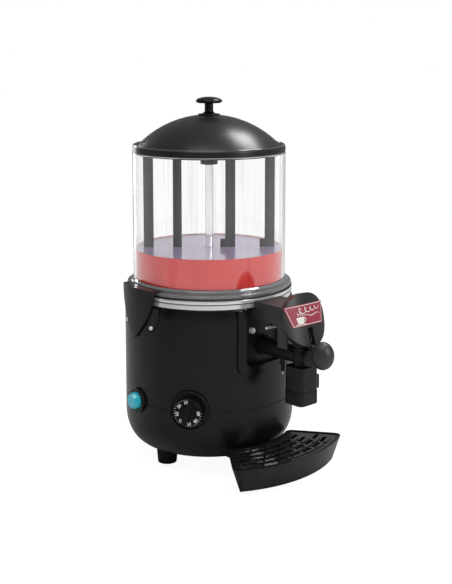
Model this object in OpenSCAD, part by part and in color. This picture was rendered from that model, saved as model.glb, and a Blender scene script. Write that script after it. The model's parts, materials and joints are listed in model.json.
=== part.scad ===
// Counter-top hot chocolate dispenser: clear bowl with a turning stirrer on a heated round
// base, with a lever tap, a thermostat dial, a power button and a fan-shaped drip tray.
// Everything is drawn round the bowl's axis with the tap towards -Y, then moved as one so
// that the origin is at the bottom centre of the bounding box.

/* [Housing] */
// Outer radius of the round housing
body_r = 136; // [130:0.5:142]
// Thickness of the housing walls
body_wall = 3; // [2.5:0.1:4]
// Height of the housing's underside above the table
base_z = 25; // [20:0.5:30]
// Height of the seam between lower pan and upper shell
seam_z = 105.5; // [100:0.5:108]
// Height where the lower rounding ends
shoulder_h = 50; // [40:1:56]
// How far the lower rounding reaches inwards
shoulder_in = 32; // [26:1:34]
// Top of the upper shell
shell_top_z = 264; // [262:0.5:270]
// How far the housing's top edge is in from its side
shell_top_in = 4; // [3.5:0.5:6]
// Height of the easing at the top of the upper shell
ease_h = 19; // [12:1:24]

/* [Feet] */
// How far the middles of the feet are in from the housing's side
foot_in = 46.5; // [45:0.5:52]
// Radius of a foot at its top
foot_top_r = 17; // [15:0.5:18]
// Radius of a foot at the table
foot_bottom_r = 15; // [12:0.5:16]
// Radius of a foot's screw
foot_screw_r = 2.2; // [1.8:0.1:3]

/* [Water tank] */
// Width of the space between the tank and the housing's side
jacket = 26; // [23:1:30]
// Thickness of the tank's steel
tank_wall = 1.2; // [0.8:0.1:2]
// Height of the tank's bottom
tank_bottom_z = 160; // [158:1:168]
// Height of the steel ring that the bowl stands on
ring_h = 14.6; // [12:0.2:18]
// How far the rolled band stands out of the ring
ring_bead = 1; // [0.4:0.1:1.6]

/* [Bowl] */
// How far the bowl's outer wall is in from the housing's side
bowl_in = 14; // [10:0.5:15]
// Thickness of the bowl's wall
bowl_wall = 3.5; // [2.5:0.1:5]
// How far the bowl's flange is in from the housing's side
flange_in = 4; // [4:0.5:6]
// Thickness of the bowl's foot flange
flange_h = 5; // [4:0.5:7]
// How far the bowl's step stands out from its wall
step_out = 4; // [3:0.5:4]
// Height of the step above the flange
step_h = 5; // [4:0.5:8]
// Thickness of the bowl's floor
floor_h = 4; // [3:0.5:5]
// Height of the bowl from its seal to its rim
bowl_h = 211.5; // [190:1:230]
// Thickness of the seal under the bowl
seal_h = 1.5; // [1:0.1:2.5]
// Height of the drink above the bowl's floor
drink_h = 50; // [30:1:80]

/* [Column and stirrer] */
// Radius of the steel column
column_r = 7.5; // [7:0.1:9]
// Thickness of the column's tube
column_wall = 1.9; // [1.5:0.1:2.2]
// Radius of the drive shaft
shaft_r = 5; // [4:0.1:5]
// Gap between the column's top and the bowl's rim
column_drop = 21.5; // [20:0.5:25]
// Radius of the stirrer's hub
hub_r = 14; // [11:0.5:16]
// Height of the stirrer's hub
hub_h = 13; // [8:0.5:13]
// Space between the stirrer's blades and the bowl's wall
stir_space = 13; // [12:0.5:20]
// Width of a stirrer blade, along the radius
blade_w = 16; // [12:0.5:20]
// Thickness of a stirrer blade
blade_t = 4; // [3:0.5:6]
// Inner edge of the near short-side blade
blade_near = 26; // [22:1:30]
// Inner edge of the far short-side blade
blade_far = 44; // [43:1:48]
// Extra width of the paddle at a blade's foot
paddle_w = 8; // [4:0.5:10]
// Height of the paddle at a blade's foot
paddle_h = 53; // [40:1:80]
// Gap between the blades and the bowl's floor
blade_gap = 10; // [6:0.5:14]
// Thickness of the stirrer's arms
arm_t = 4; // [3:0.5:5]
// Direction of the stirrer at rest, seen from above
stir_angle = -41; // [-90:1:90]

/* [Lid] */
// Radius of the sphere that the lid's dome is cut from
dome_sphere_r = 157; // [150:1:170]
// How far the dome's foot is in from the lid's edge
dome_in = 9.5; // [8:0.5:12]
// Thickness of the lid's wall
lid_wall = 2.5; // [2:0.1:3.5]
// Height of the lid's rim
rim_h = 10.4; // [8:0.2:13]
// Depth of the lip that hangs inside the bowl
lip_h = 3.5; // [3:0.5:5]
// Radius of the knob's head
knob_r = 21.5; // [17:0.5:25]
// Height of the knob above the dome
knob_h = 28; // [22:0.5:34]

/* [Side clips] */
// How far the clips stand out from the housing's side
clip_out = 6; // [5.5:0.5:8]
// Thickness of a clip's shield
clip_t = 3; // [2.5:0.5:3.5]
// Half of the width of a clip at its top
clip_half_w = 44; // [38:1:46]
// Length of a clip from its top to its tip
clip_len = 79; // [64:1:84]
// Direction of the clips from the front
clip_angle = 96; // [92:1:100]

/* [Tap] */
// Height of the tap's arm
tap_z = 201; // [196:0.5:202]
// Outer radius of the tap's arm
arm_r = 13; // [11:0.5:13]
// Bore radius of the tap's arm
arm_bore_r = 9; // [7:0.5:9]
// Distance of the spout from the housing's side
tap_out = 73; // [71:0.5:75]
// Outer radius of the valve body
valve_r = 13; // [12.5:0.5:13]
// Radius of the valve's bore
valve_bore_r = 9.5; // [8:0.5:10]
// Distance of the lever's pivot from the housing's side
pivot_out = 33; // [32:0.5:35]
// Height of the lever's pivot
pivot_z = 241; // [240.5:0.5:242]
// Radius of the lever's pin
pin_r = 2; // [1.6:0.1:2.4]
// Distance of the ball from the pivot
lever_len = 88.7; // [87:0.1:91]
// Angle of the lever below the level at rest
lever_drop = 20.7; // [20:0.1:21.5]
// Height of the lever bar
lever_h = 8; // [6:0.5:8]
// Width of the lever bar
lever_w = 6; // [5:0.5:7]
// Radius of the ball knob at its widest
ball_r = 17; // [14:0.5:18]
// Half of the height of the ball knob
ball_half_h = 21; // [17:0.5:22]
// Half of the width of the spout's shroud
shroud_half_w = 19; // [19:0.5:24]
// Half of the depth of the spout's shroud
shroud_half_d = 18; // [18:0.5:20]
// Bottom of the spout's shroud
shroud_z = 129; // [124:1:134]
// Height of the cap round the shroud's foot
shroud_cap_h = 20; // [14:0.5:26]

/* [Tap cover] */
// Half of the width of the cover's shield
cover_half_w = 43.5; // [40:0.5:46]
// Length of the shield above its widest line
cover_up = 36; // [32:0.5:40]
// Length of the shield below its widest line
cover_down = 44; // [42:0.5:46]
// Lean of the shield, out at its foot
cover_lean = 15; // [12:0.5:17]
// Radius of the shield's rounded face
cover_round = 95; // [85:1:140]
// Depth of the shield's edge
cover_depth = 16; // [14:0.5:24]
// Wall thickness of the cover
cover_wall = 3; // [2:0.1:3.5]
// Half of the width of the neck
neck_half_w = 27; // [24:0.5:30]
// Height of the neck
neck_h = 28; // [26:0.5:29]
// Width of the slot for the lever
slot_w = 11; // [9:0.5:12]

/* [Front frame] */
// Half of the width of the raised frame
frame_half_w = 54; // [52:0.5:56]
// Width of the raised frame's band
frame_band = 11; // [8:0.5:13]
// Height of the frame's lower edge
frame_z = 161.5; // [158:0.5:164]
// How far the frame stands out of the housing
frame_proud = 4; // [2:0.5:5]
// Radius of the frame's outer corners
frame_corner = 14; // [13:0.5:18]
// Depth of the recess inside the frame
recess = 8.5; // [7:0.5:9]

/* [Controls] */
// Direction of the thermostat dial from the front
dial_angle = -53.8; // [-60:0.1:-48]
// Height of the thermostat dial
dial_z = 108.6; // [104:0.1:112]
// Radius of the dial's bezel
bezel_r = 31; // [27:0.5:33]
// Radius of the thermostat knob
dial_r = 23; // [19:0.5:24]
// Radius of the thermostat's spindle
spindle_r = 3; // [2.5:0.1:4]
// Height of the knob's body
dial_h = 15; // [11:0.5:18]
// Direction of the power button from the front
button_angle = -96; // [-99:0.1:-93]
// Height of the power button
button_z = 108; // [104:0.1:112]
// Radius of the power button
button_r = 13; // [12:0.5:15]
// Radius of the collar round the power button
collar_r = 19.5; // [18:0.5:20]
// How far the power button stands out of the housing
button_proud = 14; // [11:0.5:16]
// Travel of the power button
button_travel = 3; // [2:0.1:3]

/* [Drip tray] */
// How far the tray reaches in under the housing's side
tray_tuck = 3; // [0.5:0.5:3]
// How far the tray reaches out from the housing's side
tray_reach = 84; // [80:1:90]
// How much narrower the tray is at its bottom
tray_taper = 12; // [8:0.5:15]
// Bottom of the tray above the table
tray_z = 8; // [6:0.5:9]
// Height of the tray
tray_h = 38; // [32:0.5:38]
// Wall thickness of the tray
tray_wall = 2.5; // [2:0.1:3.5]
// Angle of the tray's ends from the front
tray_angle = 37; // [33:0.5:40]
// Distance in front of the axis where the tray's end lines meet
tray_apex = 30; // [24:1:36]
// Radius of the tray's corners
tray_corner = 10; // [8:0.5:12]
// Thickness of the grille
grille_h = 4; // [3:0.5:5]
// Distance between the grille's rows
row_pitch = 15; // [13:0.5:17]
// Width of the slots in the grille
slit_w = 6; // [4:0.5:7]
// Length of the tray's tongues in their rails, which it travels before it is free
tray_travel = 30; // [20:1:36]

/* [Inlet] */
// Height of the mains cable gland at the back
gland_z = 85; // [80:1:92]
// Radius of the gland's thread
gland_r = 8; // [6:0.5:9]
// How far the gland stands out of the housing
gland_out = 14; // [10:0.5:18]

/* [Fits] */
// Radial clearance of running shafts
run_gap = 0.05; // [0.02:0.01:0.1]
// Clearance of pieces that are seated in holes
fit_gap = 0.1; // [0.05:0.01:0.2]
// Gap between parts that move past each other
move_gap = 0.3; // [0.3:0.05:0.6]

/* [Hidden] */
$fn = 96;
eps = 0.01;

// Heights that follow from the sizes above
shoulder_r = body_r - shoulder_in;
shell_top_r = body_r - shell_top_in;
foot_ring_r = body_r - foot_in;
tank_r = body_r - jacket;
bowl_r = body_r - bowl_in;
flange_r = body_r - flange_in;
step_r = bowl_r + step_out;
clip_r = body_r + clip_out;
tap_r = body_r + tap_out;
pivot_r = body_r + pivot_out;
tray_in_r = body_r - tray_tuck;
tray_out_r = body_r + tray_reach;
// Cuts through the front wall start here, well inside it
cut_r = tank_r - 50;
ring_z = shell_top_z + ring_h;
bowl_z = ring_z + seal_h;
bowl_floor_z = bowl_z + flange_h - floor_h + 2;
floor_top_z = bowl_floor_z + floor_h;
bowl_top_z = bowl_z + bowl_h;
bowl_in_r = bowl_r - bowl_wall;
stir_r = bowl_in_r - stir_space;
dome_r = bowl_r - dome_in;
column_top_z = bowl_top_z - column_drop;
hub_z = column_top_z + 1 + move_gap;
arm_z = hub_z + hub_h;
blade_z = floor_top_z + blade_gap;
lid_seal_h = 1;
rim_z = bowl_top_z + lid_seal_h;
dome_z = rim_z + rim_h;
dome_centre_z = dome_z - sqrt(pow(dome_sphere_r, 2) - pow(dome_r, 2));
dome_top_z = dome_centre_z + dome_sphere_r;
top_z = dome_top_z + knob_h;
// Motor drive below the tank
plate_t = 3;
plate_z = tank_bottom_z - 7 - plate_t;
gearbox_h = 46;
gearbox_w = 66;
gearbox_d = 60;
gearbox_boss_r = 15.5;
motor_len = 58;
motor_r = 32;
post_ring_r = tank_r - 20;
post_r = 4;
post_angles = [35, 140, -140, -35];
// Outlet from the bowl's floor to the tap
outlet_r = tank_r - 32;
pipe_r = arm_bore_r + 2;
panel_r = body_r - recess;
panel_t = 3;
// Tap
valve_low_z = tap_z - 19;
valve_top_z = tap_z + arm_r;
valve_cap_h = 2;
stem_r = 2.5;
lever_at_stem = (tap_r - pivot_r) / cos(lever_drop);
lever_stem_z = pivot_z - (tap_r - pivot_r) * tan(lever_drop);
head_z = lever_stem_z + lever_h / 2 / cos(lever_drop) + 2.2;
head_h = 2.5;
head_r = 6;
ball_y = pivot_r + lever_len * cos(lever_drop);
ball_z = pivot_z - lever_len * sin(lever_drop);
neck_z = pivot_z + lever_h / 2 + 2.5;
neck_top_z = neck_z + neck_h;
cover_y = tap_r + 13.5;
cover_z = 261;
cover_mid = 2;
shroud_top_z = tap_z - arm_r - 1;
shroud_wall = 2.5;
// Tray
tray_top_z = tray_z + tray_h;
tray_floor = 3;
grille_z = tray_top_z - grille_h - 1.5;
ledge = 2;
tongue_t = 3;
tongue_x = 30;
tongue_w = 15;
rail_t = 2.5;
// The whole machine is moved so that the origin is under the middle of its box
button_front_r = 11;
left_reach = (body_r + button_proud) * sin(-button_angle) - button_front_r * cos(button_angle);
axis_x = (left_reach - clip_r) / 2;
front_reach = ball_y + ball_r;
back_reach = body_r + gland_out;
axis_y = (front_reach - back_reach) / 2;

// ---- helpers ----

// Places children that point along -Y at an angle from the front, in the machine's frame
module placed(angle = 0) {
  translate([axis_x, axis_y, 0]) rotate([0, 0, angle]) children();
}

// A cylinder along the outward radius (-Y), from one distance to another
module radial(from, to, r, r_end = -1, sides = $fn) {
  translate([0, -from, 0]) rotate([90, 0, 0])
    cylinder(h = to - from, r1 = r, r2 = r_end < 0 ? r : r_end, $fn = sides);
}

// A box centred on x, from one distance to another along -Y, and between two heights
module radial_box(from, to, half_w, z0, z1) {
  translate([-half_w, -to, z0]) cube([2 * half_w, to - from, z1 - z0]);
}

module ring(r_in, r_out, z0, z1) {
  translate([0, 0, z0]) difference() {
    cylinder(h = z1 - z0, r = r_out);
    translate([0, 0, -1]) cylinder(h = z1 - z0 + 2, r = r_in);
  }
}

module rounded_rect(x0, x1, y0, y1, r) {
  translate([x0 + r, y0]) square([x1 - x0 - 2 * r, y1 - y0]);
  translate([x0, y0 + r]) square([x1 - x0, y1 - y0 - 2 * r]);
  for (x = [x0 + r, x1 - r])
    for (y = [y0 + r, y1 - r])
      translate([x, y]) circle(r = r, $fn = 48);
}

// Extrudes an outline drawn in x and z along -Y, between two distances
module towards_front(from, to) {
  translate([0, -from, 0]) rotate([90, 0, 0]) linear_extrude(height = to - from) children();
}

// ---- housing ----

// Outline of the housing: from the flat underside, round the lower shoulder, to the top
function base_outline(inset, z1) = concat(
  [for (a = [-90 : 7.5 : 0])
    [shoulder_r + (shoulder_in - inset) * cos(a), base_z + shoulder_h + (shoulder_h - inset) * sin(a)]],
  [[body_r - inset, z1]]
);

function shell_outline(inset, z0) = concat(
  [[body_r - inset, z0]],
  [for (a = [0 : 10 : 90])
    [shell_top_r - inset + (body_r - shell_top_r) * cos(a), shell_top_z - ease_h + ease_h * sin(a)]]
);

module control_holes() {
  placed(dial_angle) translate([0, 0, dial_z]) radial(body_r - 24, body_r + 9, bezel_r + fit_gap);
  placed(button_angle) translate([0, 0, button_z]) radial(body_r - 24, body_r + 9, collar_r + fit_gap);
}

// Air slots in the underside, inside the ring of feet
vent_out_r = foot_ring_r - foot_top_r - 6;
vent_len = 22;
vent_w = 5;

module housing_base() {
  lip = 1.8;
  color("#17171a") difference() {
    placed() union() {
      rotate_extrude() difference() {
        polygon(concat([[0, base_z]], base_outline(0, seam_z), [[0, seam_z]]));
        polygon(concat([[0, base_z + body_wall]], base_outline(body_wall, seam_z + 1), [[0, seam_z + 1]]));
      }
      ring(body_r - body_wall - lip - fit_gap, body_r - body_wall, seam_z - 8, seam_z);
      ring(body_r - body_wall - lip - fit_gap, body_r - body_wall - fit_gap, seam_z - 1, seam_z + 6);
    }
    placed() ring(body_r - 0.8, body_r + 1, seam_z - 0.8, seam_z + 1);
    control_holes();
    for (a = [0 : 90 : 270])
      placed(a) translate([0, -foot_ring_r, base_z - 1]) cylinder(h = body_wall + 2, r = foot_screw_r + fit_gap);
    for (a = [15 : 30 : 345])
      placed(a) radial_box(vent_out_r - vent_len, vent_out_r, vent_w / 2, base_z - 1, base_z + body_wall + 1);
    placed(180) translate([0, 0, gland_z]) radial(body_r - 10, body_r + 4, gland_r + fit_gap);
  }
}

module housing_shell() {
  color("#17171a") difference() {
    placed() rotate_extrude() polygon(concat(
      shell_outline(0, seam_z),
      [for (i = [10 : -1 : 0]) shell_outline(body_wall, seam_z)[i]]
    ));
    placed() ring(body_r - 0.8, body_r + 1, seam_z - 1, seam_z + 0.8);
    control_holes();
    placed() towards_front(cut_r, body_r + 9) frame_hole();
    for (side = [-1, 1])
      clip_screw_places(side * clip_angle) radial(body_r - 9, body_r + 9, clip_screw_r + fit_gap);
  }
}

// ---- feet ----

module foot(angle) {
  color("#101012") placed(angle) translate([0, -foot_ring_r, 0]) difference() {
    cylinder(h = base_z, r1 = foot_bottom_r, r2 = foot_top_r);
    translate([0, 0, -1]) cylinder(h = 9, r = 3 * foot_screw_r);
    translate([0, 0, -1]) cylinder(h = base_z + 2, r = foot_screw_r + fit_gap);
  }
}

module foot_screws() {
  color("silver") for (a = [0 : 90 : 270]) placed(a) translate([0, -foot_ring_r, 0]) {
    translate([0, 0, 8 - 2.6]) cylinder(h = 2.6, r = 2 * foot_screw_r);
    translate([0, 0, 8 - eps]) cylinder(h = base_z + body_wall, r = foot_screw_r);
    translate([0, 0, base_z + body_wall]) cylinder(h = 3.4, r = 2 * foot_screw_r, $fn = 6);
  }
}

// ---- frame and recess round the tap ----

module frame_hole() {
  rounded_rect(-frame_half_w + frame_band, frame_half_w - frame_band, frame_z + frame_band,
    shell_top_z + 20, frame_corner - 4);
}

module tap_frame() {
  rim_in = 2;
  leg_end = -8;
  open_end = frame_half_w - frame_corner - 2;
  color("#141416") placed() difference() {
    union() {
      intersection() {
        towards_front(cut_r, body_r + 20)
          rounded_rect(-frame_half_w, frame_half_w, frame_z, shell_top_z + 30, frame_corner);
        ring(body_r + eps, body_r + frame_proud, frame_z - 2, shell_top_z - 2);
      }
      intersection() {
        towards_front(cut_r, body_r + 20) inset_hole(fit_gap);
        ring(panel_r + eps, body_r + frame_proud, frame_z - 2, shell_top_z - fit_gap);
      }
    }
    towards_front(50, body_r + 30) inset_hole(rim_in);
    intersection() {
      translate([leg_end, -body_r - 20, frame_z - 3]) cube([open_end - leg_end, 60, frame_band + rim_in + 4]);
      ring(body_r + eps, body_r + 20, frame_z - 3, frame_z + frame_band + rim_in + 1);
    }
  }
}

module inset_hole(inset) {
  rounded_rect(-frame_half_w + frame_band + inset, frame_half_w - frame_band - inset,
    frame_z + frame_band + inset, shell_top_z + 20, frame_corner - 4 - inset);
}

module tap_panel() {
  color("#0e0e10") placed() difference() {
    intersection() {
      towards_front(cut_r, body_r + 20) inset_hole(fit_gap);
      ring(panel_r - panel_t, panel_r, frame_z - 2, shell_top_z - fit_gap);
    }
    translate([0, 0, tap_z]) radial(cut_r, body_r + 20, arm_r + fit_gap);
    for (x = [-1, 1]) translate([x * panel_screw_x, 0, panel_screw_z])
      radial(cut_r, body_r, panel_screw_r + fit_gap);
  }
}

panel_screw_x = 26;
panel_screw_z = 228;
panel_screw_r = 2.5;
panel_face_y = sqrt(pow(panel_r, 2) - pow(panel_screw_x - 2 * panel_screw_r, 2));

// ---- clips at the sides, hooked over the bowl's flange ----

clip_boss_z = 240;
clip_screw_z = 230;
clip_screw_r = 2.5;
// Distance of a clip's screws from its middle line
clip_screw_x = 34.5;
clip_base_t = 2;
clip_base_half_w = 48;
clip_base_top = shell_top_z - 2;
clip_base_len = 52;
clip_top_z = bowl_z + flange_h + move_gap + clip_t;

function clip_outline() = concat(
  [for (t = [0 : 0.0625 : 1]) [clip_half_w * (1 - t * t), clip_top_z - clip_len * t]],
  [for (t = [0.9375 : -0.0625 : 0]) [-clip_half_w * (1 - t * t), clip_top_z - clip_len * t]]
);

// The base is fuller than the shield, so that its screws show beside it
function clip_base_outline() = concat(
  [for (t = [0 : 0.0625 : 1]) [clip_base_half_w * (1 - pow(t, 4)), clip_base_top - clip_base_len * t]],
  [for (t = [0.9375 : -0.0625 : 0]) [-clip_base_half_w * (1 - pow(t, 4)), clip_base_top - clip_base_len * t]]
);

module side_clip(angle) {
  boss_r = 9;
  base_out = body_r + clip_base_t;
  color("#1c1c1f") difference() {
    placed(angle) union() {
      intersection() {
        towards_front(cut_r, clip_r + 20) polygon(clip_outline());
        ring(clip_r - clip_t, clip_r, clip_top_z - clip_len - 1, clip_top_z);
      }
      intersection() {
        towards_front(cut_r, clip_r + 20) polygon(clip_outline());
        ring(step_r + 1, clip_r - 1, clip_top_z - clip_t, clip_top_z);
      }
      intersection() {
        towards_front(cut_r, clip_r + 20) polygon(clip_base_outline());
        ring(body_r + fit_gap, base_out, clip_base_top - clip_base_len - 1, clip_base_top);
      }
      translate([0, 0, clip_boss_z]) radial(base_out - 1, clip_r - clip_t / 2, boss_r);
    }
    clip_screw_places(angle) radial(cut_r, clip_r + 9, clip_screw_r + fit_gap);
  }
}

module clip_screw_places(angle) {
  for (side = [-1, 1])
    placed(angle + side * asin(clip_screw_x / body_r)) translate([0, 0, clip_screw_z]) children();
}

module trim_screws() {
  base_out = body_r + clip_base_t + fit_gap;
  color("silver") {
    for (x = [-1, 1]) placed() translate([x * panel_screw_x, 0, panel_screw_z]) {
      radial(panel_face_y - 9, panel_face_y + 2, panel_screw_r);
      radial(panel_face_y, panel_face_y + 6, 2 * panel_screw_r, sides = 6);
    }
    for (side = [-1, 1]) clip_screw_places(side * clip_angle) {
      radial(body_r - 8, base_out + 0.5, clip_screw_r);
      radial(base_out, base_out + 1.6, 1.4 * clip_screw_r, 1.2 * clip_screw_r);
      radial(body_r - body_wall - 3, body_r - body_wall - 0.5, 1.8 * clip_screw_r, sides = 6);
    }
  }
}

// ---- water tank, heater and drive ----

module water_tank() {
  skirt = tank_wall;
  band_z = shell_top_z + ring_h / 2;
  bead_r = ring_h / 4;
  color("silver") difference() {
    placed() rotate_extrude() polygon(concat(
      [[0, tank_bottom_z], [tank_r, tank_bottom_z], [tank_r, ring_z - tank_wall]],
      [[shell_top_r - skirt, ring_z - tank_wall], [shell_top_r - skirt, shell_top_z]],
      [[shell_top_r, shell_top_z], [shell_top_r, band_z - 1], [shell_top_r - 0.7, band_z - 0.5]],
      [for (a = [-70 : 20 : 90])
        [shell_top_r + (a < 90 ? ring_bead * cos(a) : 0), ring_z - bead_r + bead_r * sin(a)]],
      [[tank_r - tank_wall, ring_z], [tank_r - tank_wall, tank_bottom_z + tank_wall]],
      [[0, tank_bottom_z + tank_wall]]
    ));
    placed() translate([0, 0, tank_bottom_z - 1]) cylinder(h = tank_wall + 2, r = column_r + fit_gap);
    placed() translate([0, 0, tap_z]) radial(outlet_r, tank_r + 2, pipe_r - 0.5 + fit_gap);
  }
}

module band_heater() {
  gap = 14;
  color("#9a958c") placed(180) {
    difference() {
      ring(tank_r + fit_gap, tank_r + 3, 222, 252);
      radial_box(tank_r - 5, tank_r + 9, gap / 2, 221, 253);
    }
    for (side = [-1, 1]) translate([side * (gap / 2 + 2), 0, 0])
      radial_box(tank_r + 2, tank_r + 9, 1.8, 226, 248);
    translate([0, 0, 237]) rotate([0, 90, 0]) translate([0, -tank_r - 6.5, 0])
      cylinder(h = gap + 12, r = 1.8, center = true);
  }
}

module motor_bracket() {
  color("#8d9094") placed() {
    difference() {
      translate([0, 0, plate_z]) cylinder(h = plate_t, r = tank_r - 6);
      translate([0, 0, plate_z - 1]) cylinder(h = plate_t + 2, r = 16);
    }
    for (a = post_angles) rotate([0, 0, a]) translate([0, -post_ring_r, base_z + body_wall])
      cylinder(h = plate_z - base_z - body_wall + eps, r = post_r);
  }
}

module gearbox() {
  color("#74777b") placed() difference() {
    union() {
      translate([-gearbox_w / 2, -gearbox_d / 2, plate_z - gearbox_h]) cube([gearbox_w, gearbox_d, gearbox_h]);
      translate([0, 0, plate_z - eps]) cylinder(h = plate_t + 1.5, r = gearbox_boss_r);
    }
    translate([0, 0, plate_z - gearbox_h + 8]) cylinder(h = gearbox_h + plate_t, r = shaft_r + run_gap);
  }
}

module motor() {
  motor_top = plate_z - gearbox_h;
  color("#55585c") placed() {
    translate([0, 0, motor_top - motor_len]) cylinder(h = motor_len, r = motor_r);
    for (a = [0 : 30 : 330]) rotate([0, 0, a])
      radial_box(motor_r - 1, motor_r + 3, 1.2, motor_top - motor_len + 6, motor_top - 6);
    translate([0, 0, motor_top - motor_len - 4]) cylinder(h = 4 + eps, r = 14);
  }
}

module thermostat() {
  color("#c9c4b4") placed(dial_angle) translate([0, 0, dial_z]) difference() {
    union() {
      radial_box(thermostat_r - thermostat_d, thermostat_r, thermostat_w / 2, -thermostat_w / 2, thermostat_w / 2);
      radial(thermostat_r - 1, bezel_in_r + 5, 7);
    }
    radial(thermostat_r - 14, bezel_in_r + 6, spindle_r + run_gap);
  }
}

thermostat_r = body_r - 22;
thermostat_d = 32;
thermostat_w = 38;
bezel_in_r = body_r - 10;

terminal_r = body_r - 75;

module terminal_block() {
  color("#e5e2d8") placed(180) difference() {
    radial_box(terminal_r - 9, terminal_r + 9, 30, base_z + body_wall, base_z + body_wall + 16);
    for (i = [-2 : 2]) translate([i * 11, -terminal_r, base_z + body_wall + 6]) cylinder(h = 12, r = 2.6);
  }
}

module cable_gland() {
  color("#0f0f11") placed(180) translate([0, 0, gland_z]) difference() {
    union() {
      radial(body_r - 9, body_r + 2, gland_r);
      radial(body_r + eps, body_r + 4.5, 1.5 * gland_r, sides = 6);
      radial(body_r + 4, body_r + gland_out, 1.25 * gland_r, 0.8 * gland_r);
      radial(body_r - 8, body_r - body_wall - 0.6, 1.5 * gland_r, sides = 6);
    }
    radial(body_r - 12, body_r + gland_out + 1, gland_r / 2);
  }
}

// ---- bowl ----

module bowl_seal() {
  color("#3a3a3d") placed() ring(flange_r - 8, flange_r - 2, ring_z, bowl_z);
}

module bowl() {
  step_z = bowl_z + flange_h;
  neck_z0 = step_z + step_h;
  color([0.85, 0.9, 0.92, 0.3]) difference() {
    placed() rotate_extrude() polygon([
      [0, bowl_floor_z], [bowl_in_r - 6, bowl_floor_z], [flange_r - 10, bowl_z], [flange_r, bowl_z],
      [flange_r, step_z], [step_r, step_z], [step_r, neck_z0 - 1], [step_r - 1, neck_z0],
      [bowl_r, neck_z0 + 2], [bowl_r, bowl_top_z], [bowl_in_r, bowl_top_z],
      [bowl_in_r, floor_top_z], [0, floor_top_z]
    ]);
    placed() translate([0, 0, bowl_floor_z - 5]) cylinder(h = floor_h + 9, r = column_r + fit_gap);
    placed() translate([0, -outlet_r, bowl_floor_z - 5]) cylinder(h = floor_h + 9, r = pipe_r + fit_gap);
  }
}

drink_top_z = floor_top_z + drink_h;

// The blades sweep round in the drink, so its solid leaves their paths free
module drink_fill() {
  gap = move_gap + 0.2;
  inner_low = blade_near - paddle_w - gap;
  inner_high = blade_far + blade_w + gap;
  outer_low = stir_r - blade_w - paddle_w - gap;
  outer_high = stir_r + 2 * gap;
  groove_z = blade_z - gap;
  low_z = floor_top_z + move_gap;
  color([0.86, 0.2, 0.17, 0.8]) placed() union() {
    ring(nut_r + 1, bowl_in_r - move_gap, low_z, groove_z);
    ring(nut_r + 1, inner_low, groove_z - eps, drink_top_z);
    ring(inner_high, outer_low, groove_z - eps, drink_top_z);
    ring(outer_high, bowl_in_r - move_gap, groove_z - eps, drink_top_z);
  }
}

nut_r = 12;

module column_tube() {
  groove_z = drink_top_z + 8;
  color("silver") placed() difference() {
    union() {
      translate([0, 0, tank_bottom_z - 5]) cylinder(h = column_top_z - tank_bottom_z + 5, r = column_r);
      translate([0, 0, floor_top_z]) cylinder(h = 2.5, r = nut_r);
    }
    translate([0, 0, tank_bottom_z - 6]) cylinder(h = column_top_z, r = column_r - column_wall);
    ring(column_r - 0.4, column_r + 1, groove_z, groove_z + 0.8);
  }
}

module column_nut() {
  color("#b9bcc0") placed() difference() {
    union() {
      translate([0, 0, bowl_floor_z - 6]) cylinder(h = 6, r = nut_r + 3, $fn = 6);
      translate([0, 0, tank_bottom_z - 5]) cylinder(h = 5, r = nut_r, $fn = 6);
    }
    translate([0, 0, tank_bottom_z - 6]) cylinder(h = column_top_z, r = column_r + fit_gap / 2);
  }
}

module shaft_bushes() {
  wall_r = column_r - column_wall;
  color("#b08d4f") placed() difference() {
    union() {
      translate([0, 0, column_top_z - 12]) cylinder(h = 12 + 1, r = wall_r);
      translate([0, 0, column_top_z]) cylinder(h = 1, r = column_r);
      translate([0, 0, tank_bottom_z - 5]) cylinder(h = 12, r = wall_r);
    }
    translate([0, 0, tank_bottom_z - 6]) cylinder(h = 400, r = shaft_r + run_gap);
  }
}

module outlet_pipe() {
  pipe_end = panel_r - panel_t - 1;
  color("#b9bcc0") placed() difference() {
    union() {
      translate([0, -outlet_r, tap_z - pipe_r]) cylinder(h = floor_top_z - tap_z + pipe_r, r = pipe_r);
      translate([0, 0, tap_z]) radial(outlet_r, pipe_end, pipe_r - 0.5);
    }
    translate([0, -outlet_r, tap_z - arm_bore_r]) cylinder(h = column_top_z, r = arm_bore_r);
    translate([0, 0, tap_z]) radial(outlet_r, pipe_end + 1, arm_bore_r - 0.5);
  }
}

module outlet_seal() {
  color("#2a1a1a") placed() translate([0, -outlet_r, 0])
    ring(pipe_r + fit_gap, pipe_r + 6, bowl_floor_z - 3, bowl_floor_z);
}

// ---- tap ----

module tap_arm() {
  color("#141416") placed() difference() {
    translate([0, 0, tap_z]) radial(panel_r - panel_t - 1, tap_r, arm_r);
    translate([0, 0, tap_z]) radial(cut_r, tap_r, arm_bore_r);
    translate([0, -tap_r, tap_z - 30]) cylinder(h = 60, r = valve_r + eps);
  }
}

module tap_collar() {
  collar_from = tap_r + valve_r + 0.2;
  color("#0d0d0f") placed() difference() {
    union() {
      translate([0, 0, tap_z]) radial(collar_from, collar_from + 2.8, arm_r + 1);
      translate([0, 0, tap_z]) radial(panel_r + 2, panel_r + 8, arm_r + 2.5);
    }
    translate([0, 0, tap_z]) radial(cut_r, tap_r + stub_len, arm_r + eps);
  }
}

// The valve's body runs on in front of the spout, to a closed end
stub_len = 17;

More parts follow.
